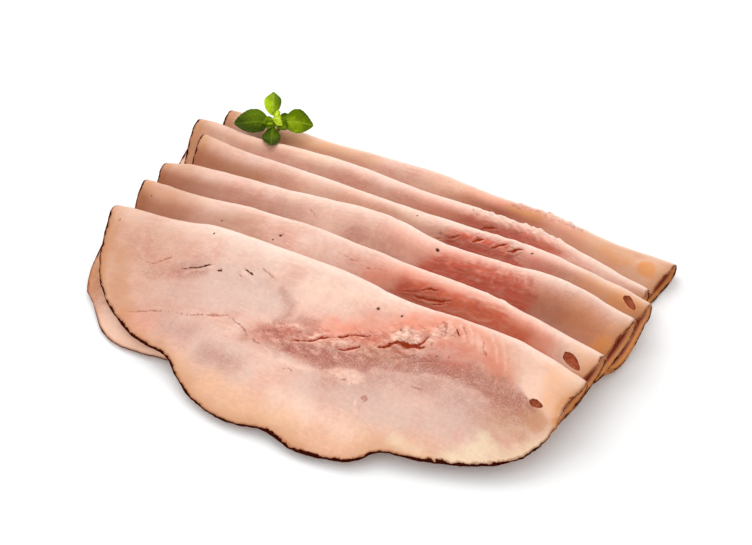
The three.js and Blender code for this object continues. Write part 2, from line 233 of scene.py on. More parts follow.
def folded(ham, u, w):
    # the place of flat points of a slice once it is folded and laid
    x = ham["shift"] + u * ham["length"]
    bend = foldRound(ham, x)
    turn = np.minimum(np.abs(w) / bend, math.pi / 2)
    behind = np.maximum(np.abs(w) - math.pi * bend / 2, 0)
    y = foldLine(ham, x) - bend + bend * np.cos(turn) - behind
    low, high = heightAt(ham["lower"], x, y), heightAt(ham["upper"], x, y)
    z = (low + high) / 2 + np.sign(w) * (high - low) / 2 * np.sin(turn)
    return np.stack([x, y, z], -1)


def outward(ham, u, w):
    # the direction out of the slice's outer face
    near = 0.3                             # millimetres to each side
    along = folded(ham, u + near, w) - folded(ham, u - near, w)
    across = folded(ham, u, w + near) - folded(ham, u, w - near)
    normal = np.cross(across, along)
    return normal / np.linalg.norm(normal, axis=-1, keepdims=True)


# Marks on the meat, in millimetres on the flat slice: along the fold, and across it from the ridge.
# u is along and w across in what follows, with w above 0 on the upper layer.
def shareAlong(u, w, start, end):
    # how far along a line from its start to its end the nearest point lies, and the line's length squared
    length = max((end[0] - start[0]) ** 2 + (end[1] - start[1]) ** 2, 1e-9)
    t = ((u - start[0]) * (end[0] - start[0]) + (w - start[1]) * (end[1] - start[1])) / length
    return np.clip(t, 0, 1), length


def distanceToPath(u, w, path):
    nearest = np.full(u.shape, 1e9)
    for a, b in zip(path, path[1:] or path):
        t = shareAlong(u, w, a, b)[0]
        nearest = np.minimum(nearest, np.hypot(u - a[0] - t * (b[0] - a[0]), w - a[1] - t * (b[1] - a[1])))
    return nearest


def taper(u, w, path):
    # wide in the middle of a path and thin at both of its ends
    t, length = shareAlong(u, w, path[0], path[-1])
    return 1 if length < 1 else 0.3 + 0.8 * np.sin(math.pi * t) ** 0.7


def insideArea(u, w, corners):
    inside = np.zeros(u.shape, bool)
    for (au, aw), (bu, bw) in zip(corners, corners[1:] + corners[:1]):
        if aw != bw:
            inside ^= ((aw > w) != (bw > w)) & (u < (bu - au) * (w - aw) / (bw - aw) + au)
    return inside


def markShare(u, w, mark, ragged=0):
    # how far a mark covers a flat point: an area has a soft border, a path a soft width
    if "area" in mark:
        edge = distanceToPath(u, w, mark["area"] + mark["area"][:1])
        depth = np.where(insideArea(u, w, mark["area"]), edge, -edge) + 0.4 * mark["soft"] * ragged
        return mark["share"] * fade(depth, 0, -mark["soft"] / 4)
    return mark["share"] * bell(distanceToPath(u, w, mark["path"]) / mark["wide"])


def area(share, soft, *corners):
    return {"share": share, "soft": soft, "area": list(corners)}


def path(share, wide, *points):
    return {"share": share, "wide": wide, "path": list(points)}


def strokes(share, wide, first, last, count, lean):
    # a row of short uneven marks, as where fibres stand up from a ridge
    chance = np.random.default_rng(count)
    row = []
    for i in range(count):
        u, w = (a + (b - a) * (i + chance.uniform(-0.4, 0.4)) / (count - 1) for a, b in zip(first, last))
        size = chance.uniform(0.5, 1.2)
        end = (u + lean[0] * size, w + lean[1] * size)
        row.append(path(share * chance.uniform(0.6, 1), wide, (u, w), end))
    return row


# Each slice has its marks by kind: red (dark muscle), salmon, mauve (cured muscle below the tears),
# grey (pearly meat), light (palest muscle), gold (smoked fat), amber (fat near the skin), cream (raw fat),
# tan (smoked edge), flake (a raised bit of pale muscle), torn (where fibres stand up), raised (the flap
# at the front slice's right end), the thin ones tear, line and speck, and char (how much thicker the rind
# is). Farther numbers: "fold" is where the ridge runs, "lobes" are swellings of the outline at an angle,
# "eyes" the holes, "tanEnds" where the smoked ends begin, then how strong the painted shade is that darkens
# and reddens the slice beside the next fold, and "dry" how far the painted highlight on its ridge reaches
# in mm, both from its left to its right end.
slices = [
    {"node": "slice_1_back", "shift": 2.4, "length": 0.985, "radius": 2.7, "flare": 0.5,
     "fold": [49.3, 50.9, 50.8, 53, 54.3, 53, 53.5, 50.1, 49.9], "tanEnds": (-84, 52),
     "lobes": [{"angle": 215, "width": 20, "swell": -0.05}], "eyes": [],
     "damp": [0.3, 0.5, 0.6, 0.5, 0.5, 1.1, 0.6, 0.3, 0.2], "dry": [1.5],
     "marks": {
         "red": [path(0.5, 4, (27, 8), (40, 8))],
         "salmon": [path(0.5, 4, (12, 6), (34, 5)), path(0.5, 6, (44, 7), (58, 8))],
         "light": [path(0.5, 1.2, (84.6, 8.6), (87, 6.6), (90, 6.4))],
         "gold": [path(0.35, 5, (10, 7), (28, 7), (46, 7)), path(0.6, 7, (60, 9), (78, 8), (92, 10)),
            path(0.5, 5, (-45, 6), (-30, 6)), path(0.4, 8, (0, 8), (24, 8))],
         "amber": [path(0.7, 2, (31, 7.4), (41, 7.6)), path(0.5, 2.6, (71, 8.5), (76.3, 10.9)),
            area(0.85, 1, (84.5, 10.3), (85.2, 8.4), (87, 7.1), (89.2, 6.8), (91, 7.8), (92.3, 10),
                 (93, 13), (89, 13.6), (86, 12.6)), path(0.5, 1.6, (80.3, 9.9)),
            path(0.45, 4, (-68, 9), (-60, 8), (-50, 6.5))],
         "tan": [path(0.5, 3, (30, 7.6), (42, 7.6)), path(0.3, 6, (78, 8), (90, 8)),
            path(0.25, 6, (42, 6), (72, 7)), path(0.35, 5, (-68, 9), (-60, 8), (-50, 6.5)),
            path(0.35, 5, (-46, 6), (-32, 6))],
         "flake": [*strokes(0.5, 0.4, (40, 2), (60, 1.5), 9, (2.4, 3.4)),
            path(0.4, 0.8, (27, 4), (33, 3), (39, 4))],
         "torn": [area(1, 2, (30, 1), (60, 1), (60, 5), (44, 6), (30, 6))],
         "tear": [path(0.5, 0.5, (36, 5), (42, 4))],
         "line": [*strokes(0.8, 0.35, (41.2, 2.4), (58.6, 2), 7, (2, 2.8))]}},
    {"node": "slice_2", "shift": -2.1, "length": 1.005, "radius": 3.0, "flare": 0.1,
     "fold": [36.5, 35.2, 37.6, 39, 38.2, 38.9, 39, 34.4, 29.9], "tanEnds": (-80, 84),
     "lobes": [{"angle": -80, "width": 30, "swell": 0.03}], "eyes": [],
     "damp": [0.2, 0.5, 0.6, 0.6, 0.7, 0.9, 0.7, 0.2, 0.3], "dry": [2.8],
     "marks": {
         "red": [area(0.8, 4, (20, 12), (24, 7.5), (35, 6.5), (43, 5.5), (54, 6), (62, 8), (60, 13),
                 (37, 14))],
         "salmon": [path(0.5, 8, (10, 9), (60, 8))],
         "light": [path(0.6, 1.5, (33, 3), (42, 3), (48, 5))],
         "gold": [path(0.7, 6, (-62, 1), (-38, 1))],
         "tan": [path(0.4, 6, (-78, 5), (-66, 5)), path(0.2, 4, (-58, 3), (-50, 3))],
         "flake": [*strokes(0.7, 0.5, (22, 3), (50, 2.4), 9, (3, 2.6)),
            *strokes(0.8, 0.6, (32, 6), (60, 5.4), 9, (2.6, 1.6))],
         "torn": [area(1, 2.5, (22, 2), (60, 2), (62, 8), (36, 10), (20, 9))],
         "tear": [path(0.9, 0.55, (30, 12), (32, 10.4), (36, 9.2)),
            path(0.4, 0.4, (47.5, 6), (52.3, 7.5))],
         "line": [path(0.4, 0.5, (-5, 8), (4, 9)), *strokes(0.8, 0.35, (24, 4), (52, 3), 8, (2.6, 2.4))]}},
    {"node": "slice_3", "shift": 5, "length": 0.98, "radius": 2.9, "flare": 0.3,
     "fold": [25.6, 22.1, 23.2, 23.9, 23.9, 24.3, 25.9, 23, 19.9], "tanEnds": (-80, 62),
     "lobes": [{"angle": -24, "width": 12, "swell": 0.03}],
     "eyes": [{"at": (90.6, 7.2), "length": 7, "width": 2.8, "turn": -28, "tilt": 0.3}],
     "damp": [0.8, 0.6, 0.35, 0.5, 0.6, 0.8, 0.55, 0.4, 0.4], "dry": [2.8],
     "marks": {
         "red": [path(1.2, 2.6, (18, 9), (30, 8), (38, 7)),
            area(0.95, 4, (15, 12), (19, 8), (27, 6), (38, 6), (45, 8), (48, 12), (46, 16), (30, 17),
                 (16, 16)), path(0.5, 4, (46, 9), (56, 10))],
         "salmon": [path(0.5, 5, (54, 4), (68, 5))],
         "mauve": [path(0.3, 5, (-68, 9), (-52, 10.5)), path(0.4, 4, (54, 9), (68, 9.5))],
         "gold": [path(0.3, 7, (-22, 10), (-4, 10)), path(0.6, 5, (80, 8), (96, 8))],
         "amber": [path(0.4, 5, (74, 8), (84, 8)), path(0.8, 4.5, (86, 8), (96, 8))],
         "tan": [path(0.25, 8, (-60, 9), (-36, 10)), path(0.9, 5, (-88, 13), (-77, 13), (-62, 13))],
         "flake": [*strokes(0.45, 0.6, (14, 6.4), (44, 3.6), 8, (3.4, -1.6))],
         "torn": [area(1, 2.5, (13, 8), (26, 4), (42, 4), (47, 7), (46, 12), (30, 13), (13, 12))],
         "tear": [path(0.9, 0.45, (17, 10.6), (20.9, 8.4)), path(1, 0.5, (26, 9.3), (29.2, 6.8)),
            path(1, 0.5, (33.3, 9.5), (38.7, 5.8)), path(1, 0.6, (39.5, 9.2), (45.5, 6)),
            path(0.7, 0.4, (11, 12), (15, 11))],
         "speck": [path(1, 0.6, (48.9, 6.4)), path(0.8, 0.5, (-12.6, 9.9)), path(0.8, 0.5, (9.9, 5.5)),
            path(0.7, 0.5, (1.8, 6))]}},
    {"node": "slice_4", "shift": 2.3, "length": 1, "radius": 3.5, "flare": 0.6,
     "fold": [4.2, 5.5, 6.6, 9.5, 11.4, 8.3, 9.7, 10.1, 6.3], "tanEnds": (-76, 93),
     "lobes": [{"angle": 70, "width": 25, "swell": -0.03}], "eyes": [],
     "damp": [0.8, 0.8, 0.6, 0.2, 0.3, 0.6, 0.6, 0.7, 0.3],
     "dry": [2, 2, 2.4, 3.4, 3.4, 3.4, 3.4, 3.4, 3.4],
     "marks": {
         "red": [area(1, 6.5, (17, 15), (21, 9.5), (26, 7), (44, 6.5), (51, 7.5), (58, 10.5), (62, 13),
                 (60, 18), (34, 22), (16, 19)), path(0.3, 6, (66, 14), (84, 15))],
         "salmon": [path(0.5, 7, (6, 8), (40, 5), (60, 8))],
         "mauve": [area(0.5, 6, (58, 7), (68, 5.5), (80, 5), (92, 6), (97, 9), (94, 15), (80, 18),
                 (62, 18)), path(0.2, 5, (-40, 15), (-30, 15)), path(0.4, 4, (-12, 15), (8, 17))],
         "light": [path(0.5, 5, (-6, 17), (12, 17)), path(0.4, 6, (-30, 15), (-15, 16))],
         "amber": [path(0.4, 5, (76, 14), (86, 15), (96, 13)), path(1, 4.2, (90, 17), (97, 16))],
         "tan": [path(0.45, 6, (66, 14), (74, 14), (82, 13), (88, 12))],
         "flake": [*strokes(0.4, 0.35, (42, 4), (56, 5), 8, (5, 6.5))],
         "torn": [area(0.8, 3, (20, 8), (44, 5), (60, 6), (62, 14), (40, 15), (22, 13))],
         "line": [*strokes(0.7, 0.3, (43, 6), (57, 6), 5, (3.6, 5.4)),
            path(0.25, 0.4, (-34, 8), (-29, 10.5), (-22, 15))],
         "speck": [path(1, 0.8, (21, 7.7))]}},
    {"node": "slice_5", "shift": 0.8, "length": 0.986, "radius": 3.3, "flare": 0.3,
     "fold": [-9.4, -11.2, -9.6, -7.9, -8.1, -9, -8.7, -11.5, -13.8], "tanEnds": (-66, 104),
     "lobes": [{"angle": 120, "width": 30, "swell": -0.03}],
     "eyes": [{"at": (88.2, 11), "length": 8, "width": 3.6, "turn": -22, "tilt": 0}],
     "damp": [0.75, 0.6, 0.35, 0, 0.25, 0.75, 0.55, 0.55, 0.15], "dry": [2, 2, 2, 2, 2.3, 3, 2.6, 3, 3],
     "marks": {
         "red": [path(1.3, 3.2, (21, 12), (30, 11), (38, 10.8), (48, 10.3)),
            path(0.6, 3, (50, 10.2), (58, 9.7), (68, 10.4)), path(1.1, 3.4, (40, 12.4), (50, 11), (58, 9)),
            path(0.9, 4, (56, 12), (68, 11.4)),
            area(0.9, 6, (15, 21), (18, 14.5), (21, 11.5), (28, 9.5), (38, 9), (48, 9.5), (56, 11),
                 (62, 14), (60, 20), (44, 24), (10, 26))],
         "salmon": [path(0.7, 5, (60, 12), (76, 13)),
            path(0.75, 5, (8, 13), (20, 8), (40, 5), (60, 7), (76, 9))],
         "light": [path(0.8, 2, (47, 2.5), (55, 2.5), (62, 4))],
         "gold": [path(0.5, 4, (89, 6), (96, 8))],
         "amber": [path(0.12, 5, (26, 14), (44, 12), (56, 11), (72, 11.4)),
            path(0.4, 4, (92, 14), (97, 12))],
         "tan": [path(0.35, 5, (-54, 9.5), (-44, 10))],
         "flake": [path(0.4, 0.4, (44, 7.6), (50, 6.4), (57, 5)), path(0.3, 0.35, (52, 8), (60, 6.8)),
            path(0.3, 0.35, (42, 14), (48, 13), (56, 12)),
            *strokes(0.3, 0.35, (20, 9), (34, 6.4), 5, (4, -1.2)), path(0.8, 0.8, (46, 4), (50, 4)),
            path(0.7, 0.7, (55, 2.5), (61, 4.5))],
         "torn": [area(0.5, 3, (14, 14), (28, 8), (48, 6), (58, 5), (60, 9), (46, 13), (30, 17),
                 (16, 18))],
         "tear": [path(0.85, 0.35, (27, 11), (30, 10), (34, 9)),
            path(0.85, 0.5, (25, 13.4), (31, 13.4), (36, 12.4), (39.5, 10.8)),
            path(0.7, 0.35, (33, 14.5), (36, 13.4), (39, 12)), path(0.6, 0.35, (20, 14), (25, 12))],
         "line": [path(0.8, 0.3, (-32, 11), (-29, 10.4)), path(0.4, 0.6, (-10, 9), (4, 11), (14, 9))],
         "speck": [path(0.6, 0.7, (-86.4, 9.3)), path(0.8, 0.6, (-54.5, 11.6)),
            path(0.8, 0.4, (-33.3, 13), (-32.8, 12.7)), path(0.7, 0.3, (-31, 11.2), (-30.2, 11))]}},
    {"node": "slice_6_front", "shift": -0.3, "length": 1, "radius": 3.3, "flare": 0,
     "fold": [-26.4, -27.7, -24.9, -24.1, -24.3, -26.6, -25.9, -25.8, -28.8], "tanEnds": (-84, 93),
     "lobes": [{"angle": -18, "width": 14, "swell": -0.02}],
     "eyes": [{"at": (84.6, 18.2), "length": 5, "width": 2.6, "turn": 8, "tilt": 0}],
     "damp": [0, 0], "dry": [6.5, 6.5, 6.5, 6.5, 6, 3.2, 1.5, 3, 5],
     "marks": {
         "red": [path(0.4, 2.5, (50, 14), (60, 13.5), (68, 15)), path(0.22, 5, (-14, 35), (-5, 31)),
            path(0.35, 3.5, (44, 15.4), (56, 16)), path(0.5, 2.4, (17, 22.5), (25, 20), (34, 18.6))],
         "salmon": [area(0.9, 6, (-8, 31), (-2, 24.5), (7, 19.4), (20, 13.2), (28, 9.4), (35, 5.5),
                 (44, 3), (54, 1.5), (64, 5), (71, 12), (74, 17), (65, 16), (59, 13), (52, 13), (45, 14),
                 (37, 15), (30, 17), (24, 20), (14, 26), (5, 31)),
            path(0.7, 3, (58, 7), (66, 10), (72, 16)), path(0.6, 2.5, (2, 36.5), (12, 35), (22, 29)),
            path(0.5, 5, (-66, 41), (-56, 44))],
         "mauve": [area(0.95, 3.5, (-17, 36), (-14, 32), (-6, 31), (0, 33), (10, 29.5), (25, 22.5),
                 (39, 18), (50, 16), (59, 16), (69, 17), (80, 18), (86, 20), (87, 25), (81, 29),
                 (74, 27.5), (65, 24.5), (55, 23.5), (46, 25), (36, 27.5), (27, 32), (19, 36), (10, 38.5),
                 (0, 39), (-10, 38)),
            area(0.62, 2.2, (-20, 37), (-15.5, 31.8), (-11.6, 27.4), (-5, 23.6), (2, 23), (3, 29),
                 (-2, 36), (-10, 38.6)), path(1, 3, (24, 25), (35, 22)),
            path(0.4, 7, (14, 39), (24, 34), (36, 30), (50, 28), (64, 28), (76, 30)),
            path(1, 3, (80, 23), (87, 24)),
            area(0.7, 5, (66, 21), (76, 20), (85, 20), (88, 24), (86, 30), (79, 34), (72, 32), (67, 28)),
            path(1, 2.2, (28, 22.5), (38, 20), (48, 19)), path(1, 3, (62, 19.5), (72, 20.5), (80, 22)),
            path(1, 2, (6, 33.5), (14, 31.5)), path(0.8, 2.4, (76, 26), (84, 25)),
            path(0.45, 2, (-16, 18), (-11, 21), (-9, 24), (-10, 27)),
            path(0.5, 4, (-66, 24.5), (-58, 23), (-50, 21)), path(0.75, 2.6, (-55, 22.4), (-48, 20.4)),
            path(0.5, 3, (-19, 39), (-12, 37.8), (-6, 38)), path(0.4, 4, (-30, 49), (-17, 49)),
            path(0.3, 5, (-50, 43), (-40, 43)), path(0.27, 14, (-74, 14), (-68, 26), (-58, 36)),
            # the next path is painted shade: it darkens the lower layer's bulge at the left end, under the
            # upper layer's edge
            path(1, 8, (-95, -16), (-91, -24), (-85, -34))],
         "grey": [area(0.65, 7, (17, 42), (19, 36), (28, 31), (36, 27), (47, 26), (58, 25), (68, 26),
                 (78, 30), (77, 34), (69, 40), (60, 44), (47, 47), (34, 48), (24, 47)),
            area(0.7, 6, (-65, 25), (-56, 20), (-46, 16.5), (-35, 14.5), (-24, 14.5), (-16, 18), (-11, 22),
                 (-11, 27), (-18, 30), (-29, 33), (-43, 36), (-56, 34)),
            path(0.9, 6, (-32, 48), (-15, 50)), path(0.7, 6, (-52, 42), (-38, 43)),
            path(0.5, 5, (7, 47), (22, 46))],
         "light": [path(0.5, 4, (40, 35), (50, 34.4)), path(0.6, 5, (10, 54), (28, 53)),
            path(0.4, 6, (-14, 50), (2, 52)), path(0.5, 3, (28, 13.5), (36, 11.5), (44, 10.5)),
            area(0.8, 6, (-11, 14), (-1, 9), (15, 6), (28, 4), (30, 7), (20, 10), (6, 15), (-7, 18)),
            area(0.7, 6, (60, -4), (66, 8), (74, 14), (80, 18), (88, 20), (96, 14), (98, 2), (97.5, -4)),
            area(0.85, 0.7, (76, 14), (79, 17), (82.3, 18.6), (87.4, 17.9), (90.1, 19.7), (91.8, 19.5),
                 (92.9, 18), (93.5, 14.8), (93.7, 12.6), (96, 8.3), (97, 3), (86, 6), (78, 10)),
            path(0.5, 0.6, (-19.5, 37.5), (-10.5, 40.3), (-6.2, 41.4), (5.2, 41.5), (13.9, 39.7),
                 (24.4, 38.2))],
         "gold": [area(0.66, 8, (-66, 43), (-51, 50), (-37, 53.5), (-23, 54), (-8, 55), (10, 54.5),
                 (23, 52), (36, 52), (48, 49), (58, 47), (66, 53), (46, 62), (30, 72), (-13, 76),
                 (-44, 64), (-70, 52)),
            area(0.8, 3, (84, 8), (88, 10), (88, 17), (93, 19), (97, 12), (99, 2), (94, 0)),
            # the next path is painted shade on the lower layer, along the upper layer's edge
            path(0.9, 12, (-90, -30), (-76, -40), (-56, -46))],
         "amber": [area(0.35, 4, (80, 6), (86, 16), (92, 19), (97, 12), (99, 2), (94, 0)),
            path(1, 1.9, (93.4, 18.6), (94.2, 15), (95.6, 12), (97, 7), (97.4, 2)),
            path(0.7, 1.6, (91.6, 15.6), (93.2, 12), (94.8, 8.6)), path(0.35, 2.4, (87, 16), (91, 18.4))],
         "cream": [path(0.25, 5, (78, 31), (86, 28.6)),
            area(0.8, 4, (62, 50), (66, 45), (71, 40), (71, 36.5), (74, 34.5), (79, 36), (86, 32.5),
                 (91, 28), (93.5, 24), (97, 25), (94, 31), (88, 38), (79, 46), (68, 52)),
            path(0.4, 2.2, (46, 50.5), (56, 50.5))],
         "tan": [path(0.3, 3, (22, 25), (34, 22.5)), path(0.38, 6, (74, 32), (84, 29)),
            path(0.3, 5, (75, 28), (84, 26)), path(0.4, 3, (82, 23), (87, 24)),
            path(0.7, 7, (-80, 22), (-74, 34), (-68, 41)), path(0.72, 6, (-91, 2), (-88, 16), (-84, 26)),
            path(0.3, 12, (-80, 4), (-66, 8)), path(0.24, 16, (-74, 14), (-64, 32)),
            # the next path is painted shade on the lower layer's bulge at the left end
            path(0.9, 6, (-95, -16), (-91, -24), (-86, -33)),
            path(0.75, 2.4, (-83, 32), (-76, 38.6), (-68, 44.4), (-58, 50), (-51, 52.4)),
            path(0.4, 14, (-86, 4), (-86, 24), (-74, 38)), path(0.2, 10, (64, 9), (74, 13)),
            # the next area is tan partly as its own smoked colour and partly as painted shadow under the
            # flap's edge
            area(0.7, 1.2, (84, 20.8), (86.5, 19.2), (89, 20.2), (91.6, 20.6), (91.6, 24), (89, 26.6),
                 (84, 26)), path(0.9, 0.9, (93.2, 18), (94.4, 14.5), (95.4, 11.5), (96.6, 8)),
            # the next path is painted shade on the lower layer, along the upper layer's edge
            path(0.3, 5, (-88, -33), (-80, -41), (-70, -48), (-56, -51))],
         "flake": [path(0.9, 0.5, (93.4, 17), (94.6, 14.8)),
            area(0.9, 0.6, (28, 16.5), (31, 13), (35, 12.5), (39, 12.5), (38.5, 15.5), (37, 17),
                 (33, 17.3), (30, 18)), path(0.8, 1.8, (41.5, 13.4), (43.4, 11.4), (45.6, 10)),
            path(0.45, 1.6, (56, 9), (60, 10.4)), path(0.4, 2.6, (14, 9), (19, 8), (24, 6.6)),
            path(0.6, 0.9, (-7, 28.6), (-4, 27.6), (-1.2, 28.4)),
            path(0.4, 0.8, (-17.8, 29.4), (-13.3, 30)), path(0.8, 0.6, (2, 30), (6, 26.5)),
            path(0.8, 0.7, (10, 28), (15, 26)), path(0.8, 0.6, (42, 12), (44, 8.5)),
            path(0.7, 0.6, (46.5, 12), (48, 9)), path(0.5, 0.5, (44, 6.5), (46.8, 8.4), (48, 11)),
            path(0.6, 0.5, (49.4, 6.4), (52, 8.6), (53, 11)),
            path(0.5, 0.5, (52, 5.4), (54.6, 7.6), (55.8, 10.6)),
            path(0.4, 0.4, (60, 5.6), (64, 9.4), (66.4, 13)), path(0.35, 0.4, (64, 6), (68, 10), (70, 14)),
            # the next two paths are painted highlights beside the two scratches
            path(0.35, 0.5, (-53, 22), (-48.5, 20), (-44.4, 18)),
            path(0.35, 0.5, (-33, 16.4), (-30, 17.2), (-28, 18)),
            area(0.62, 1.6, (13.5, 37.8), (15.6, 35.4), (18.4, 33.2), (22, 32.8), (25.5, 33.6), (27.5, 36),
                 (25, 38), (22.5, 39), (18, 38.4)), path(0.5, 0.5, (30.4, 41)),
            path(0.5, 0.6, (28.4, 43), (29, 45), (30.6, 47))],
         "torn": [area(1, 3, (-18, 35), (-10, 28), (0, 26), (8, 24), (16, 20), (24, 16), (34, 11), (44, 8),
                 (52, 9), (48, 15), (40, 20), (32, 24), (24, 28), (14, 34), (4, 38), (-8, 38))],
         "raised": [area(1, 0.5, (79, 17.5), (82.3, 18.6), (87.4, 17.9), (90.1, 19.7), (91.8, 19.5),
                 (92.9, 18), (93.5, 14.8), (93.7, 12.6), (96, 8.3), (97, 5), (80, 6), (70, 8), (72, 13))],
         # the second path is a painted shadow line under the left end of the flap's edge
         "tear": [path(0.8, 0.3, (96.6, 6.5), (95.4, 8.6), (95.8, 9.8), (94.2, 11.6), (94.7, 13.6),
                 (93.2, 15.2)), path(0.5, 0.3, (79, 18), (82.3, 19)),
            path(1, 0.4, (-4, 33), (-2, 33), (3, 31), (6, 28), (9, 26)),
            path(1, 0.35, (9, 26), (13, 24), (17, 21), (22, 19)),
            path(1, 0.4, (13, 29), (16, 28), (18, 26), (20, 24)),
            path(1, 0.7, (25, 22), (28, 20), (30, 18.6)),
            path(1, 0.85, (28.6, 19), (31, 17.8), (35.5, 17.4), (40.5, 16.6)),
            path(1, 0.45, (37.5, 17), (39.4, 15), (40.6, 12.6)),
            path(0.8, 0.35, (48.2, 7.7), (51.2, 10.2))],
         "line": [path(1, 0.4, (42.3, 7.1), (45, 8.2), (46.3, 11)),
            path(1, 0.4, (50, 6.1), (52.8, 8), (53.8, 10.1)), path(0.9, 0.4, (60.3, 11.1), (62.4, 12.7)),
            path(0.8, 0.35, (46.4, 6.4), (48.4, 8.2), (49.4, 10.6)),
            path(0.7, 0.3, (53.4, 5.6), (55.8, 8), (57, 11.4)),
            path(0.6, 0.3, (57, 6.4), (59.6, 9.4), (60.4, 12.4)),
            path(0.7, 0.4, (37, 24), (41, 21), (46, 19), (49, 18)),
            path(0.7, 0.35, (28, 25), (34, 22.5), (40, 19)),
            path(0.7, 0.35, (39, 32), (42, 31), (45, 31), (48, 30)),
            path(0.6, 0.35, (49, 22), (53, 22), (58, 22)), path(0.7, 0.3, (-34, 17.4), (-30.8, 18.1)),
            path(0.8, 0.34, (-26.5, 13.1), (-20.8, 15)),
            path(0.7, 0.42, (-69, 41), (-58, 38.6), (-47.5, 37.3)),
            path(0.95, 0.42, (-50, 37.6), (-43.9, 37.3), (-36, 35.2), (-29.2, 33.6), (-23.7, 35),
                 (-19.5, 37.6), (-14.6, 39.1), (-10, 39.6)),
            path(0.6, 0.35, (-1.6, 44.7), (1, 43.8), (3.8, 44)),
            path(0.8, 0.4, (16, 38.2), (19, 38.6), (22, 37.5), (25, 38.5)),
            path(1.2, 0.42, (29.3, 41), (30.4, 40), (31.5, 41), (30.4, 42), (29.3, 41)),
            path(0.8, 0.3, (29.4, 43), (30.2, 45), (31.8, 46.6)),
            path(0.45, 0.4, (-76.8, 18.1), (-72.8, 19.8), (-69.1, 20.3), (-65.5, 20), (-63.2, 18.5),
                 (-61, 17.3), (-56.3, 12.7))],
         "speck": [path(0.8, 0.32, (-55.5, 21), (-50.3, 19.3), (-45, 16.9)),
            path(0.9, 0.36, (-50.5, 19.3), (-47.5, 18), (-44.5, 16.8)),
            path(0.9, 0.6, (-42, 18.2), (-40.2, 18)),
            path(0.85, 0.3, (-32.8, 15), (-30, 15.8), (-27.8, 16.6)), path(0.5, 0.5, (29.8, 41.7)),
            path(0.9, 0.7, (-87.1, 9.8)), path(1, 0.45, (-49.9, 6.5)), path(1, 0.6, (19.4, 10.4)),
            path(1, 0.55, (28.4, 10.1)), path(1, 0.55, (30.3, 13.8)), path(0.9, 0.4, (33, 13)),
            path(0.9, 0.5, (45.6, 17.6)), path(0.7, 0.4, (46.2, 16.2)), path(0.9, 0.45, (50.1, 16.6)),
            path(0.7, 0.4, (51.5, 28.7)), path(0.7, 0.4, (-23.3, 22.4))],
         "char": [path(0.7, 3, (5, 66.5), (12, 66.8)), path(0.6, 2.5, (19, 66), (24, 65.5)),
            path(0.3, 5, (30, 64), (37, 62)), path(0.9, 3, (56, 53.5), (62, 51.5)),
            path(0.3, 5, (70, 48), (80, 43)), path(0.25, 4, (-43, 53.5), (-32, 61)),
            path(0.2, 4, (-81, 33), (-75, 38)), path(0.4, 4, (-71, 41.5), (-64, 46), (-57, 50), (-53, 51)),
            path(-0.34, 7, (-90, -38), (-78, -46), (-62, -53), (-40, -56))]}},
]
fineKinds = ("line", "speck", "tear")                          # kept as distances, for crisp borders

pile = np.full(fieldX.shape, float(fan["table"]))
for ham in slices:
    ham["reach"] = outlineReach(fan["outline"], (fan["halfLength"], fan["halfHeight"]), ham["lobes"])
    pile = lay(ham, pile)
print("slices laid, highest point", round(float(pile.max()), 2), "mm")


# Materials
def linearColour(text):
    values = [int(text[i:i + 2], 16) / 255 for i in (1, 3, 5)]
    return tuple(v / 12.92 if v <= 0.04045 else ((v + 0.055) / 1.055) ** 2.4 for v in values) + (1,)


def addNode(tree, kind, links=None, give=0, **settings):
    # links: an input's name or number -> a value, a hex colour or an output that another call gave.
    # In a MapRange 0 is the value, 1 and 2 its range, 3 and 4 the new one. In a Mix 6 and 7 are colours.
    node = tree.nodes.new("ShaderNode" + kind)
    for name, value in settings.items():
        if name == "stops":
            while len(node.color_ramp.elements) < len(value):
                node.color_ramp.elements.new(0.5)
            for element, (position, colour) in zip(node.color_ramp.elements, value):
                element.position, element.color = position, linearColour(colour)
        else:
            setattr(node, name, value)
    for name, value in (links or {}).items():
        if isinstance(value, bpy.types.NodeSocket):
            tree.links.new(value, node.inputs[name])
        else:
            node.inputs[name].default_value = linearColour(value) if isinstance(value, str) else value
    return node.outputs[give] if node.outputs else None


def emptyMaterial(name):
    material = bpy.data.materials.new(name)
    material.use_nodes = True
    material.node_tree.nodes.clear()
    return material, material.node_tree


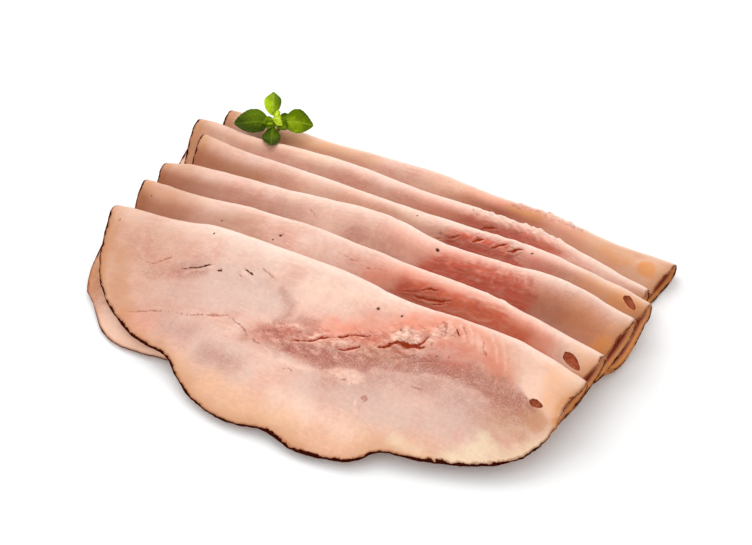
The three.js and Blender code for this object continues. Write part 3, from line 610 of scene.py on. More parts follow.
hamMeat = {
    # sRGB colours of cooked, cured pork leg. Three stand for light: the pale colour of fold ridges is a
    # painted highlight, the tint beside the next fold is painted shade, and the pale grains are painted
    # glints
    "pale": "#e9c5b4", "pink": "#dda693", "redMuscle": "#d26144", "salmon": "#ec9a80", "mauve": "#bd7d6d",
    "pearl": "#d8b7aa", "goldFat": "#ebb68c", "creamFat": "#f0d9b6", "lightMuscle": "#fad2bd",
    "amberFat": "#f0a04e", "smokedTan": "#c4895e", "dryRidge": "#fbe3d3", "flake": "#f8cdb8",
    "raisedFibre": "#f6c0aa", "crevice": "#a5503c", "scorched": "#9a5424", "rind": "#360d05",
    "tear": "#96320f", "line": "#a0553f", "speck": "#4c1c0a", "wetTint": "#b58566", "pepper": "#865642",
    "sparkle": "#e6c6b8",
    # kinds of mark from the lowest to the topmost: colour, the noise that breaks the border and how much
    "coats": {
        "grey": ("pearl", "glints", 0.3), "gold": ("goldFat", "clouds", 0.3),
        "light": ("lightMuscle", "clouds", 0.4), "salmon": ("salmon", "clouds", 0.4),
        "mauve": ("mauve", "patches", 0.6), "red": ("redMuscle", "fibres", 0.36),
        "amber": ("amberFat", "mottle", 0.4), "tan": ("smokedTan", "mottle", 0.22),
        "cream": ("creamFat", "clouds", 0.5), "flake": ("flake", "mottle", 0.4)},
    # dark grains and pale painted glints on the wet cured muscle: from and to where in the noise, and the
    # most
    "grainsAndGlints": (("pepper", 0.46, 0.7, 0.75), ("sparkle", 0.42, 0.26, 0.5)),
    # how much the thin and fine things cover at most
    "most": {"thread": 0.4, "raisedFibre": 0.38, "crevice": 0.4, "crack": 0.6, "dryRidge": 0.75,
             "line": 0.6, "speck": 0.97, "tear": 0.97, "scorched": 0.72, "rind": 1.0},
    # direction, size in mm, detail, roughness and distortion. Muscle bundles are 0.3 mm thick, and the
    # fibres are drawn three times coarser so that they show; strands and marbling are groups of them.
    "noises": {
        "clouds": ("level", 14, 5, 0.56, 0), "patches": ("level", 5, 5, 0.7, 0.5),
        "mottle": ("level", 1.6, 5, 0.65, 0), "glints": ("level", 0.4167, 2, 0.5, 0),
        "edges": ("level", 1.111, 4, 0.7, 0), "blobs": ("level", 2.4, 3, 0.6, 0),
        "fibres": ("stretched", 0.9, 3, 0.5, 0.6), "marbling": ("stretched", 3.333, 5, 0.65, 1.5),
        "strands": ("combed", 1.818, 3, 0.6, 0.8)},
    "stretched": (0.12, 0.16), "combed": (0.5, 0.22),   # turn in radians, and scale along the fibres
    "lineHalf": 0.03,                                   # of the thin lines in a noise, in its values
    "grain": (0.9, 1.06), "streaks": (0.97, 1.02),      # how dark and how light they make the colour
    "rindSwing": (0.25, 1.6),                           # how the rind's width goes up and down
    "roughness": (0.34, 0.54), "ior": 1.45,             # moist surface of brined meat
    "shine": 0.36, "scatter": 0.25,
    "scatterDepth": 0.0012, "grainHeight": 0.00006,     # both in metres
}


def makeMeat():
    # Brined, smoked and cooked pork leg, machine-sliced: a moist pale pink face with soft clouds, redder
    # muscle with drawn-out fibres, fat that turns gold with the smoke, and a nearly black rind line.
    material, tree = emptyMaterial("smokedHamMeat")
    directions = {"level": addNode(tree, "Attribute", give="Vector", attribute_name="flatPlace")}
    for name in ("stretched", "combed"):
        turn, scale = hamMeat[name]
        directions[name] = addNode(tree, "Mapping", {
            "Vector": directions["level"], "Rotation": (0, 0, turn), "Scale": (scale, 1, 1)})
    noise = {}
    for name, (direction, size, detail, roughness, distortion) in hamMeat["noises"].items():
        noise[name] = addNode(tree, "TexNoise", {
            "Vector": directions[direction], "Scale": 1 / size, "Detail": detail,
            "Roughness": roughness, "Distortion": distortion})
    masks = (*hamMeat["coats"], *(kind + "Away" for kind in fineKinds),
             "damp", "dry", "torn", "lift", "rimAway", "rindWide")
    mask = {kind: addNode(tree, "Attribute", give="Fac", attribute_name=kind) for kind in masks}
    most = hamMeat["most"]
    coats = []                        # what lies over the pale meat, from below: its share and its colour

    def middles(pattern, high):
        # thin lines where a noise has its middle value
        offset = addNode(tree, "Math", {0: noise[pattern], 1: 0.5}, operation="SUBTRACT")
        offset = addNode(tree, "Math", {0: offset}, operation="ABSOLUTE")
        return addNode(tree, "MapRange", {0: offset, 1: hamMeat["lineHalf"], 2: 0.0, 3: 0.0, 4: high},
                       interpolation_type="SMOOTHSTEP")

    coats.append((middles("marbling", most["thread"]), "lightMuscle"))     # paler tissue between bundles
    for kind, (tone, pattern, width) in hamMeat["coats"].items():
        shaken = addNode(tree, "MapRange", {0: noise[pattern], 1: 0.3, 2: 0.7, 3: -width, 4: width})
        share = addNode(tree, "Math", {0: shaken, 1: mask[kind], 2: mask[kind]}, operation="MULTIPLY_ADD")
        coats.append((share, tone))
        if kind == "mauve":
            # dark pepper grains, and pale painted glints on the cured muscle
            for tone, low, high, top in hamMeat["grainsAndGlints"]:
                grainAndGlintShare = addNode(tree, "MapRange", {0: noise["glints"], 1: low, 2: high, 3: 0.0, 4: top})
                grainAndGlintShare = addNode(tree, "Math", {0: grainAndGlintShare, 1: mask["mauve"]}, operation="MULTIPLY")
                coats.append((grainAndGlintShare, tone))
    # torn fibres: pale where they stand up, deep red between them, with fine cracks along them
    for tone, low, high in (("raisedFibre", 0.15, 0.9), ("crevice", -0.15, -0.9)):
        share = addNode(tree, "MapRange", {0: mask["lift"], 1: low, 2: high, 3: 0.0, 4: most[tone]})
        coats.append((share, tone))
    crack = addNode(tree, "Math", {0: middles("strands", most["crack"]), 1: mask["torn"]},
                    operation="MULTIPLY")
    coats.append((crack, "crevice"))
    # painted highlight on the ridge of a fold, which is paler, and painted shade on the meat beside the next
    # fold, which is darker and redder
    ridge = addNode(tree, "Math", {0: mask["dry"], 1: most["dryRidge"]}, operation="MULTIPLY")
    coats += [(ridge, "dryRidge"), (mask["damp"], "wetTint")]
    # fine marks get ragged but crisp borders, and don't shine
    plain = 1.0
    for kind in fineKinds:
        shaken = addNode(tree, "Math", {0: noise["edges"], 1: 2.4, 2: mask[kind + "Away"]},
                         operation="MULTIPLY_ADD")
        share = addNode(tree, "MapRange", {0: shaken, 1: 2.4, 2: 1.6, 3: 0.0, 4: most[kind]},
                        interpolation_type="SMOOTHSTEP")
        plain = addNode(tree, "Math", {0: plain, 1: share}, operation="SUBTRACT")
        coats.append((share, kind))
    # the rind: a scorched brown border, then the nearly black skin itself
    thin, thick = hamMeat["rindSwing"]
    swing = addNode(tree, "MapRange", {0: noise["blobs"], 1: 0.3, 2: 0.7, 3: thin, 4: thick})
    reach = addNode(tree, "Math", {0: swing, 1: mask["rindWide"]}, operation="MULTIPLY")
    depth = addNode(tree, "Math", {0: reach, 1: mask["rimAway"]}, operation="SUBTRACT")
    for tone, low, high in (("scorched", -0.9, 0.0), ("rind", -0.06, 0.1)):
        share = addNode(tree, "MapRange", {0: depth, 1: low, 2: high, 3: 0.0, 4: most[tone]},
                        interpolation_type="SMOOTHSTEP")
        coats.append((share, tone))
    rind = share
    colour = addNode(tree, "ValToRGB", {"Fac": noise["clouds"]},
                     stops=[(0.36, hamMeat["pink"]), (0.64, hamMeat["pale"])])
    for share, tone in coats:
        colour = addNode(tree, "Mix", {0: share, 6: colour, 7: hamMeat[tone]}, give=2, data_type="RGBA",
                         blend_type="MULTIPLY" if tone == "wetTint" else "MIX")
    # pale and dark grain over everything
    dark, light = hamMeat["grain"]
    grain = addNode(tree, "MapRange", {0: noise["mottle"], 1: 0.25, 2: 0.75, 3: dark, 4: light})
    dark, light = hamMeat["streaks"]
    streak = addNode(tree, "MapRange", {0: noise["fibres"], 1: 0.3, 2: 0.7, 3: dark, 4: light})
    grain = addNode(tree, "Math", {0: grain, 1: streak}, operation="MULTIPLY")
    shade = addNode(tree, "VectorMath", {0: colour, "Scale": grain}, operation="SCALE")
    # height of the grain, the fibres and the cracks
    muscle = addNode(tree, "Math", {0: mask["red"], 1: mask["salmon"]}, operation="MAXIMUM")
    height = addNode(tree, "Math", {0: noise["fibres"], 1: muscle}, operation="MULTIPLY")
    height = addNode(tree, "Math", {0: height, 1: noise["mottle"]}, operation="ADD")
    height = addNode(tree, "Math", {0: crack, 1: -2.0, 2: height}, operation="MULTIPLY_ADD")
    bump = addNode(tree, "Bump", {"Strength": 0.5, "Distance": hamMeat["grainHeight"], "Height": height})
    wet, dry = hamMeat["roughness"]
    rough = addNode(tree, "MapRange", {0: noise["mottle"], 3: wet, 4: dry})
    gloss = addNode(tree, "MapRange", {0: rind, 3: hamMeat["shine"], 4: 0.0})     # charred skin is dull
    gloss = addNode(tree, "Math", {0: gloss, 1: plain}, operation="MULTIPLY")
    surface = addNode(tree, "BsdfPrincipled", {
        "Base Color": shade, "Roughness": rough, "IOR": hamMeat["ior"], "Specular IOR Level": gloss,
        "Subsurface Weight": hamMeat["scatter"], "Subsurface Scale": hamMeat["scatterDepth"],
        "Subsurface Radius": (1.0, 0.45, 0.3), "Normal": bump})
    addNode(tree, "OutputMaterial", {"Surface": surface})
    return material


pocket = {
    "above": 1.5, "below": 0.3,            # how far it is cut, in millimetres from the middle of the slice
    "ragged": 0.12, "eggShape": 0.3, "sides": 28,
    "stops": [(0.35, "#923c1d"), (0.7, "#b25e38")], "patchSize": 1.111, "roughness": 0.5, "shine": 0.2,
}


def makePocketWall():
    # The wall of a hole that a pocket of fat left in the meat: dark reddish brown, a little shiny.
    material, tree = emptyMaterial("darkPocketWall")
    place = addNode(tree, "TexCoord", give="Object")
    patches = addNode(tree, "TexNoise", {
        "Vector": place, "Scale": 1000 / pocket["patchSize"], "Detail": 3.0})
    tone = addNode(tree, "ValToRGB", {"Fac": patches}, stops=pocket["stops"])
    surface = addNode(tree, "BsdfPrincipled", {
        "Base Color": tone, "Roughness": pocket["roughness"], "Specular IOR Level": pocket["shine"]})
    addNode(tree, "OutputMaterial", {"Surface": surface})
    return material


leafSkin = {
    "stops": [(0.05, "#324200"), (0.5, "#667f00"), (0.9, "#b4d01c"), (1.0, "#d6e84a")],   # dark to young
    "vein": "#a3ba30", "roughness": 0.42, "ior": 1.42, "shine": 0.06,
    "cloudSize": 2.222, "blisterSize": 1.05,    # mm; real blisters are 0.35 mm, drawn three times coarser
    "scatter": 0.15,
    "scatterDepth": 0.0006, "blisterHeight": 0.00012,   # both in metres
}


def makeLeaf():
    # Fresh basil leaf: waxy, finely blistered between pale veins, and it lets some light through.
    material, tree = emptyMaterial("freshBasilLeaf")
    flat = addNode(tree, "Attribute", give="Vector", attribute_name="leafPlace")
    tone, vein = (addNode(tree, "Attribute", give="Fac", attribute_name=name)
                  for name in ("leafTone", "leafVein"))
    clouds = addNode(tree, "TexNoise", {"Vector": flat, "Scale": 1 / leafSkin["cloudSize"], "Detail": 3.0})
    blisters = addNode(tree, "TexVoronoi", {"Vector": flat, "Scale": 1 / leafSkin["blisterSize"]})
    shaken = addNode(tree, "MapRange", {0: clouds, 1: 0.3, 2: 0.7, 3: -0.09, 4: 0.09})
    total = addNode(tree, "Math", {0: tone, 1: shaken}, operation="ADD")
    green = addNode(tree, "ValToRGB", {"Fac": total}, stops=leafSkin["stops"])
    colour = addNode(tree, "Mix", {0: vein, 6: green, 7: leafSkin["vein"]}, give=2, data_type="RGBA")
    bump = addNode(tree, "Bump", {
        "Strength": 0.6, "Distance": leafSkin["blisterHeight"], "Height": blisters})
    surface = addNode(tree, "BsdfPrincipled", {
        "Base Color": colour, "Roughness": leafSkin["roughness"], "IOR": leafSkin["ior"],
        "Specular IOR Level": leafSkin["shine"], "Normal": bump, "Subsurface Weight": leafSkin["scatter"],
        "Subsurface Scale": leafSkin["scatterDepth"], "Subsurface Radius": (0.4, 1.0, 0.2)})
    addNode(tree, "OutputMaterial", {"Surface": surface})
    return material


meat, pocketWall, leafGreen = makeMeat(), makePocketWall(), makeLeaf()
print("materials made")

# The slices' meshes, in millimetres
sheet = {
    "columns": [(-95, 0), (-62, 0.7), (70, 0.5), (95, 0.6)],         # up to here, with this step
    "frontRows": [(-66, 0), (-9, 3), (46, 0.5), (66, 0.8)],
    "stripRows": [(-66, 0), (-9, 3), (24, 0.55), (66, 2.6)],
    # how far the edge swells, rounds off, over which width it does so, and wanders
    "rimBulge": 0.16, "rimRound": 0.25, "rimRoundWide": 0.35, "ragged": 0.25,
    "rindWide": 0.4, "farFromRim": 30,
    "wander": 0.9, "farFromMark": 6.0,       # of the soft borders, and a distance in a fine mark's widths
    # how brown smoke makes the ends and the rim, with the lower layer's (rim: left, right), and how wide
    "smoke": {"left": 0.65, "lowerLeft": 0.25, "right": 0.4, "rim": 0.7, "lowerRim": (0.15, 0.3),
              "wide": 3.5},
    "thickRind": 0.3, "thinRind": 0.17,      # how much the skin gains and loses where it is thick and bare
    "paintedShadeFrom": (0.22, 0.58),                # where the painted shade begins and is full, down to the next fold
    # how far each thing lifts the face, or dents it
    "heights": {"flap": 0.36, "lips": 0.22, "frays": 0.7, "waves": 0.22, "ripples": 0.09, "tear": -0.4,
                "line": -0.12, "speck": -0.12, "flake": 0.45, "salmon": 0.25, "mauve": -0.5, "lift": 0.26},
}


def gridPlaces(stretches, half):
    # places for the inner face, each interval of which the outer face splits in two
    places = [stretches[0][0]]
    for end, step in stretches[1:]:
        count = max(round((end - places[-1]) / (2 * step)), 1)
        places += list(np.linspace(places[-1], end, count + 1)[1:])
    coarse = np.array(places) / half
    return np.interp(np.arange(2 * len(coarse) - 1) / 2, np.arange(len(coarse)), coarse)


def roundedGrid(columns, rows, reach, half):
    # a square grid rounded to an outline: places along and across, and how far out they lie, from 0 to 1
    a, b = np.meshgrid(columns, rows, indexing="xy")
    wide = np.abs(a) >= np.abs(b)
    out = np.where(wide, a, b)
    safe = np.where(out == 0, 1, out)
    turn = np.where(wide, math.pi / 4 * b / safe, math.pi / 2 - math.pi / 4 * a / safe)
    x, y = out * np.cos(turn), out * np.sin(turn)
    stretch = reach(np.arctan2(y, x))
    places = x * stretch * half[0], y * stretch * half[1], np.maximum(np.abs(a), np.abs(b))
    return [values.ravel() for values in places]


def ringOf(wide, high):
    # the border of a grid, once round
    across, up, last = np.arange(wide - 1), np.arange(high - 1), wide * high - 1
    return np.concatenate([across, up * wide + wide - 1, last - across, last - wide + 1 - up * wide])


def gridQuads(wide, high, start=0):
    first = (np.arange(high - 1)[:, None] * wide + np.arange(wide - 1)).ravel() + start
    return np.stack([first, first + 1, first + wide + 1, first + wide], 1)


def toMetres(points):
    # from the millimetres that the slices are laid in to the frame of the solids
    return (points - [*fan["middle"], 0]) / 1000


def meshObject(name, points, faces, attributes, material):
    mesh = bpy.data.meshes.new(name)
    mesh.from_pydata(points.tolist(), [], faces)
    for key, values in attributes.items():
        kind, slotName = ("FLOAT", "value") if values.ndim == 1 else ("FLOAT_VECTOR", "vector")
        data = mesh.attributes.new(key, kind, "POINT").data
        data.foreach_set(slotName, values.astype(np.float32).ravel())
    mesh.materials.append(material)
    mesh.shade_smooth()
    mesh.validate()
    thing = bpy.data.objects.new(name, mesh)
    bpy.context.collection.objects.link(thing)
    return thing


def paint(ham, following, u, w, place, rimAway, seed):
    # the share of each kind of mark at flat points, and how far they lift or dent the face
    noise = lambda size, step: layeredNoise(u, w, size, seed + step)
    alongSlice = lambda values: np.interp(u, np.linspace(-95, 95, len(values)), values)
    # soft borders wander in 7 mm waves, and fine ones less but also in 2.4 mm waves
    softU, softW = u + sheet["wander"] * noise(7, 11), w + sheet["wander"] * noise(7, 12)
    fineU = u + 0.35 * (softU - u) + 0.45 * noise(2.4, 15)
    fineW = w + 0.35 * (softW - w) + 0.45 * noise(2.4, 16)
    ragged = noise(4.5, 18)
    swelling = {"tear": 1 + 0.45 * noise(3, 19), "speck": 1,
                "line": np.clip(1 + 1.1 * noise(1.8, 20), 0.6, 3)}               # broken into dashes
    shares = {kind: np.zeros(u.shape) for kind in (*hamMeat["coats"], "torn", "damp")}
    shares.update({kind + "Away": np.full(u.shape, sheet["farFromMark"]) for kind in fineKinds})
    rind, flap = np.full(u.shape, sheet["rindWide"]), np.zeros(u.shape)
    for kind, marks in ham["marks"].items():
        for mark in marks:
            if kind in fineKinds:
                away = distanceToPath(fineU, fineW, mark["path"]) * swelling[kind]
                away /= mark["wide"] * mark["share"] * taper(fineU, fineW, mark["path"])
                shares[kind + "Away"] = np.minimum(shares[kind + "Away"], away)
            elif kind == "raised":
                flap = markShare(fineU, fineW, mark) * ramp(u, 72, 80)
            elif kind == "char":
                rind = rind + markShare(u, w, mark)
            else:
                shares[kind] = np.maximum(shares[kind], markShare(softU, softW, mark, ragged))
    for kind in ("mauve", "salmon", "red"):
        shares[kind] *= 1 - flap
    # smoke has tanned both ends and the rim, less so on the lower layer, and painted light makes the lower
    # layer paler at its left, where the upper layer shades it
    left, right = ham["tanEnds"]
    below, smoke = w < 0, sheet["smoke"]
    ends = np.where(below, smoke["lowerLeft"], smoke["left"]) * fade(u, left, smoke["wide"])
    ends += smoke["right"] * fade(u, right, -smoke["wide"])
    rim = np.where(below, np.where(u < 0, *smoke["lowerRim"]), smoke["rim"]) * np.where(u > 20, 0.6, 1)
    tan = np.maximum(ends + rim * bell(rimAway / (smoke["wide"] + 1.6 * noise(9, 3))), shares["tan"])
    shares["tan"] = np.clip(tan, 0, 1) * (1 - 0.85 * shares["cream"])
    shares["light"] = np.maximum(shares["light"], 0.6 * below * fade(u, -50, 6))
    shares["amber"] = np.maximum(shares["amber"], 0.8 * below * fade(u, right - 8, -4))
    # the skin is thick at the left end, and thin at the right one where fat shows in the cut
    thick = ramp(u, -74, -82) * ramp(np.abs(w), 26, 18)
    shares["bare"] = ramp(u, 78, 86) * ramp(w, 34, 26)
    shares["rimAway"] = rimAway
    shares["rindWide"] = rind - sheet["thinRind"] * shares["bare"] + sheet["thickRind"] * thick
    behind = foldLine(ham, place[:, 0]) - place[:, 1]                 # how far the ridge is, in the plan
    # painted highlight: the ridge of each fold is paler, fading behind it over a reach that changes along
    # the slice
    highlightReach = alongSlice(ham["dry"]) * (1 + 0.3 * noise(15, 17))
    shares["dry"] = (w > 0) * bell(np.maximum(behind - 0.9, 0) / highlightReach) * np.clip((u + 85) / 40, 0.3, 1)
    shares["dry"] *= 1 - 0.8 * np.clip(shares["amber"], 0, 1)
    # painted shade: the meat beside the next fold is darker and redder, down to that fold
    if following:
        down = behind / (behind + place[:, 1] - foldLine(following, place[:, 0])) + 0.08 * noise(12, 14)
        down = ramp(down, *sheet["paintedShadeFrom"])
        shares["damp"] = np.where(w > 0, down * down * (3 - 2 * down) * alongSlice(ham["damp"]), 0)
    # round a tear the meat is redder, and its lips curl up
    shares["red"] = np.maximum(shares["red"], 0.5 * bell(shares["tearAway"] / 3) * shares["torn"])
    lips = bell(shares["tearAway"] - 2.2)
    shares["flake"] = np.maximum(shares["flake"], 0.35 * lips * shares["torn"])
    fibres = latticeNoise(u / 2.5 + w / 4, w - u / 5, 1.2, seed + 6)
    shares["lift"] = shares["torn"] * (fibres + 0.6 * latticeNoise(u / 1.5, w, 0.8, seed + 7))
    lifted = {"flap": flap, "lips": lips, "waves": noise(14, 8), "ripples": noise(4, 9),
              "frays": shares["torn"] * ramp(behind, 4, 2) * noise(2, 10)}
    lifted.update({kind: bell(shares[kind + "Away"]) for kind in fineKinds})
    lifted.update({kind: shares[kind] for kind in ("flake", "salmon", "mauve", "lift")})
    return shares, sum(sheet["heights"][kind] * lifted[kind] for kind in lifted)


def buildSlice(ham, following, seed, rows, material):
    half = (fan["halfLength"], fan["halfHeight"])
    columns, rows = gridPlaces(sheet["columns"], half[0]), gridPlaces(rows, half[1])
    wide, high = len(columns), len(rows)
    u, w, out = roundedGrid(columns, rows, ham["reach"], half)
    # the cut edge wanders a little, and more on the upper layer's right end
    frayed = 1 + 2.5 * ramp(u, 84, 92) * ramp(w, 0, 6)
    wander = sheet["ragged"] * frayed * layeredNoise(u, w, 3, seed + 1) * ramp(out, 0.9, 1)
    wander /= np.maximum(np.hypot(u, w), 1)
    u, w = u * (1 + wander), w * (1 + wander)
    ring = ringOf(wide, high)
    rimAway = np.full(u.shape, float(sheet["farFromRim"]))
    close = np.nonzero(out > 0.6)[0]
    border = list(zip(u[ring][::3], w[ring][::3]))
    toRim = distanceToPath(u[close], w[close], border + border[:1])
    rimAway[close] = np.minimum(toRim, sheet["farFromRim"])
    place, normal = folded(ham, u, w), outward(ham, u, w)
    shares, relief = paint(ham, following, u, w, place, rimAway, seed)
    # the outer face, a coarser inner face, and the middle of the edge, which swells
    halfThick = fan["thickness"] / 2 - sheet["rimRound"] * np.exp(-rimAway / sheet["rimRoundWide"])
    outer = place + normal * (halfThick + relief)[:, None]
    coarse = (np.arange(0, high, 2)[:, None] * wide + np.arange(0, wide, 2)).ravel()
    inner = (place - normal * halfThick[:, None])[coarse]
    away = place[ring] - folded(ham, u[ring] * 0.99, w[ring] * 0.99)
    away /= np.linalg.norm(away, axis=1, keepdims=True)
    swell = sheet["rimBulge"] * (1 + layeredNoise(u[ring], w[ring], 2.2, seed + 2))
    points = np.concatenate([outer, inner, place[ring] + away * swell[:, None]])

    innerStart, middleStart = len(outer), len(outer) + len(inner)
    innerWide, innerHigh = (wide + 1) // 2, (high + 1) // 2
    around = np.arange(len(ring)) + middleStart
    quads = [gridQuads(wide, high)[:, ::-1], gridQuads(innerWide, innerHigh, innerStart),
             np.stack([ring, np.roll(ring, -1), np.roll(around, -1), around], 1)]
    here = ringOf(innerWide, innerHigh) + innerStart
    there = np.roll(here, -1)
    first, second, third = around[::2], around[1::2], np.roll(around, -2)[::2]
    triangles = [np.stack([first, second, here], 1), np.stack([second, third, there], 1),
                 np.stack([here, second, there], 1)]
    faces = np.concatenate(quads).tolist() + np.concatenate(triangles).tolist()

    everyPoint = lambda values: np.concatenate([values, values[coarse], values[ring]])
    attributes = {kind: everyPoint(values) for kind, values in shares.items()}
    rim, inside = slice(middleStart, None), slice(innerStart, middleStart)
    bare = attributes.pop("bare")[rim]
    attributes["rimAway"][rim] = np.where(w[ring] > 0, 0.95, 0.6) * bare - 0.35
    attributes["amber"][rim] = bare
    # inside the fold the meat is gold by the cut, and farther in painted shade makes it dark and red where
    # the fold's shade falls
    right, deep = ramp(u[coarse], 55, 75), ramp(rimAway[coarse], 1, 2.3)
    attributes["amber"][inside] = right * (1 - deep)
    attributes["tan"][inside] *= 1 - right
    attributes["red"][inside], attributes["damp"][inside] = right * deep, right * (0.05 + deep)
    attributes["tearAway"][inside] = np.minimum(attributes["tearAway"][inside], 6 - 5.2 * right * deep)
    attributes["dry"][innerStart:], attributes["light"][innerStart:] = 0, 0
    # painted light: the lower layer's inner face is paler at the left end, where the upper layer shades it
    attributes["light"][inside] = fade(u[coarse], -50, 6)
    depth = np.full(len(points), seed * 0.37)           # so that no two slices have the same pattern
    attributes["flatPlace"] = np.stack([everyPoint(u), everyPoint(w), depth], 1)
    return meshObject(ham["node"] + "_meat", toMetres(points), faces, attributes, material)


def cutPocket(piece, ham, eye, seed):
    # a hole near the slice's right end, cut with a ragged oval that fits the slice's bend
    u, w = (np.array([value], float) for value in eye["at"])
    middle, normal = folded(ham, u, w)[0], outward(ham, u, w)[0]
    along = folded(ham, u + 1, w)[0] - folded(ham, u - 1, w)[0]
    along -= normal * along.dot(normal)
    along /= np.linalg.norm(along)
    across = np.cross(normal, along)
    turn, count = math.radians(eye["turn"]), pocket["sides"]
    angles = np.arange(count) * 2 * math.pi / count
    wave = 1 + pocket["ragged"] * layeredNoise(3 * np.cos(angles), 3 * np.sin(angles), 1.1, seed)
    e = np.cos(angles) * wave * eye["length"] / 2
    f = np.sin(angles) * (1 - pocket["eggShape"] * np.cos(angles)) * wave * eye["width"] / 2
    e, f = e * math.cos(turn) + f * math.sin(turn), f * math.cos(turn) - e * math.sin(turn)
    disc = middle + e[:, None] * along - f[:, None] * across
    floor = pocket["below"] - eye["tilt"] * e / eye["length"]
    points = np.concatenate([disc + normal * pocket["above"], disc - normal * floor[:, None]])
    faces = [list(range(count - 1, -1, -1)), list(range(count, 2 * count))]
    faces += [[i, (i + 1) % count, (i + 1) % count + count, i + count] for i in range(count)]
    cutter = meshObject("pocketCutter", toMetres(points), faces, {}, pocketWall)
    cut = piece.modifiers.new("pocket", "BOOLEAN")
    cut.object, cut.operation, cut.solver, cut.material_mode = cutter, "DIFFERENCE", "EXACT", "TRANSFER"
    bpy.context.view_layer.update()
    evaluated = piece.evaluated_get(bpy.context.evaluated_depsgraph_get())
    wholeMesh, piece.data = piece.data, bpy.data.meshes.new_from_object(evaluated)
    piece.modifiers.clear()
    bpy.data.meshes.remove(wholeMesh)
    bpy.data.objects.remove(cutter)


for number, (ham, following) in enumerate(zip(slices, slices[1:] + [None])):
    rows = sheet["stripRows"] if following else sheet["frontRows"]
    piece = buildSlice(ham, following, 100 * (number + 1), rows, meat)
    for eye in ham["eyes"]:
        cutPocket(piece, ham, eye, number)
    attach(piece, "root")
    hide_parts(ham["node"])
    print(piece.name, len(piece.data.vertices), "points,", len(piece.data.polygons), "faces")

# The basil tip
basil = {
    "at": (-68, 43.6), "height": 12.5, "lean": 10, "heading": 27.6, "clearance": 0.35, "thickness": 0.4,
    "outline": [(1, 0), (0.68, 0.6), (0.1, 1), (-0.5, 0.88), (-0.95, 0.25), (-0.95, -0.25),
                (-0.5, -0.88), (0.1, -1), (0.68, -0.6)],
    "grid": (73, 49), "veinsPerSide": 3.2, "midribDepth": 0.22, "veinDepth": 0.1, "puff": 0.1,
    # the left leaf's dark tone is partly its own olive green and partly painted shade, as it lies in shadow
    "leaves": [
        {"name": "leafLeft", "turn": 180, "length": 13.4, "width": 12.4, "from": 1.4, "slope": 0,
         "roll": -10, "droop": 0.02, "cup": -0.9, "point": 0.1, "tone": 0.11, "shade": -0.26, "veins": 0.4},
        {"name": "leafRight", "turn": -6, "length": 11.4, "width": 9.2, "from": 4.6, "slope": 7,
         "roll": 30, "droop": 0.04, "cup": 0.6, "point": 0.3, "tone": 0.46, "shade": -0.12, "veins": 1.3},
        {"name": "leafTop", "turn": 89, "length": 12, "width": 6.6, "from": 2.4, "slope": 15, "roll": 0,
         "droop": 0.05, "cup": 0.6, "point": 0.6, "tone": 0.56, "shade": 0.34, "veins": 1.5},
        {"name": "leafFront", "turn": -90, "length": 13, "width": 7, "from": 2.8, "slope": 0, "roll": 0,
         "droop": 0.04, "cup": -0.7, "point": 0.1, "tone": 0.08, "shade": 0, "veins": 0.3},
        {"name": "leafSmallBack", "turn": 16, "length": 5, "width": 3.8, "from": 2.8, "slope": 4,
         "tone": 0.24},
        {"name": "leafSmallFront", "turn": -34, "length": 5, "width": 4.4, "from": 2.4, "slope": 2,
         "tone": 0.28},
        {"name": "leafSmallLeft", "turn": 196, "length": 5.2, "width": 4.4, "from": -1.2, "slope": 6,
         "tone": 0.56},
        {"name": "leafSmallNear", "turn": -110, "length": 6, "width": 4.2, "from": -1.4, "slope": 4,
         "tone": 0.3}],
    # what the small leaves share
    "smallLeaf": {"roll": 0, "droop": 0, "cup": 0.5, "point": 0.3, "shade": 0, "veins": 0.5},
    "bud": {"along": 2.3, "rise": 1.4, "scales": 9}, "stemLength": 7.3, "tubeSides": 14,
}
basil["leaves"] = [{**basil["smallLeaf"], **leaf} for leaf in basil["leaves"]]
basilFrame = (Matrix.Translation((*basil["at"], basil["height"]))
              @ Matrix.Rotation(math.radians(basil["heading"]), 4, "Z")
              @ Matrix.Rotation(math.radians(basil["lean"]), 4, "X"))
basilTurn = np.array(basilFrame.to_3x3())
basilPlace = np.array(basilFrame.translation)
leafFloor = carry(pile) - (fan["pitch"] - 1) / 2          # the ham's surface, on which the leaves lie


def leafPlaces(leaf, u, w, lift):
    # flat leaf points, bent to the leaf's form and kept clear of the ham
    direction, roll = math.radians(leaf["turn"]), math.radians(leaf["roll"])
    out = leaf["from"] + leaf["length"] / 2 + u
    across = w / (leaf["width"] / 2)
    rise = (out * math.tan(math.radians(leaf["slope"])) - leaf["droop"] * (out - leaf["from"]) ** 2 / 2
            + leaf["cup"] * across ** 2 + w * math.sin(roll) + lift)
    aside = w * math.cos(roll)
    local = np.stack([out * math.cos(direction) - aside * math.sin(direction),
                      out * math.sin(direction) + aside * math.cos(direction), rise], -1)
    world = local @ basilTurn.T + basilPlace
    lowest = heightAt(leafFloor, world[..., 0], world[..., 1]) + basil["clearance"] + basil["thickness"]
    world[..., 2] = np.maximum(world[..., 2], lowest + np.maximum(lift, -0.1))
    return world


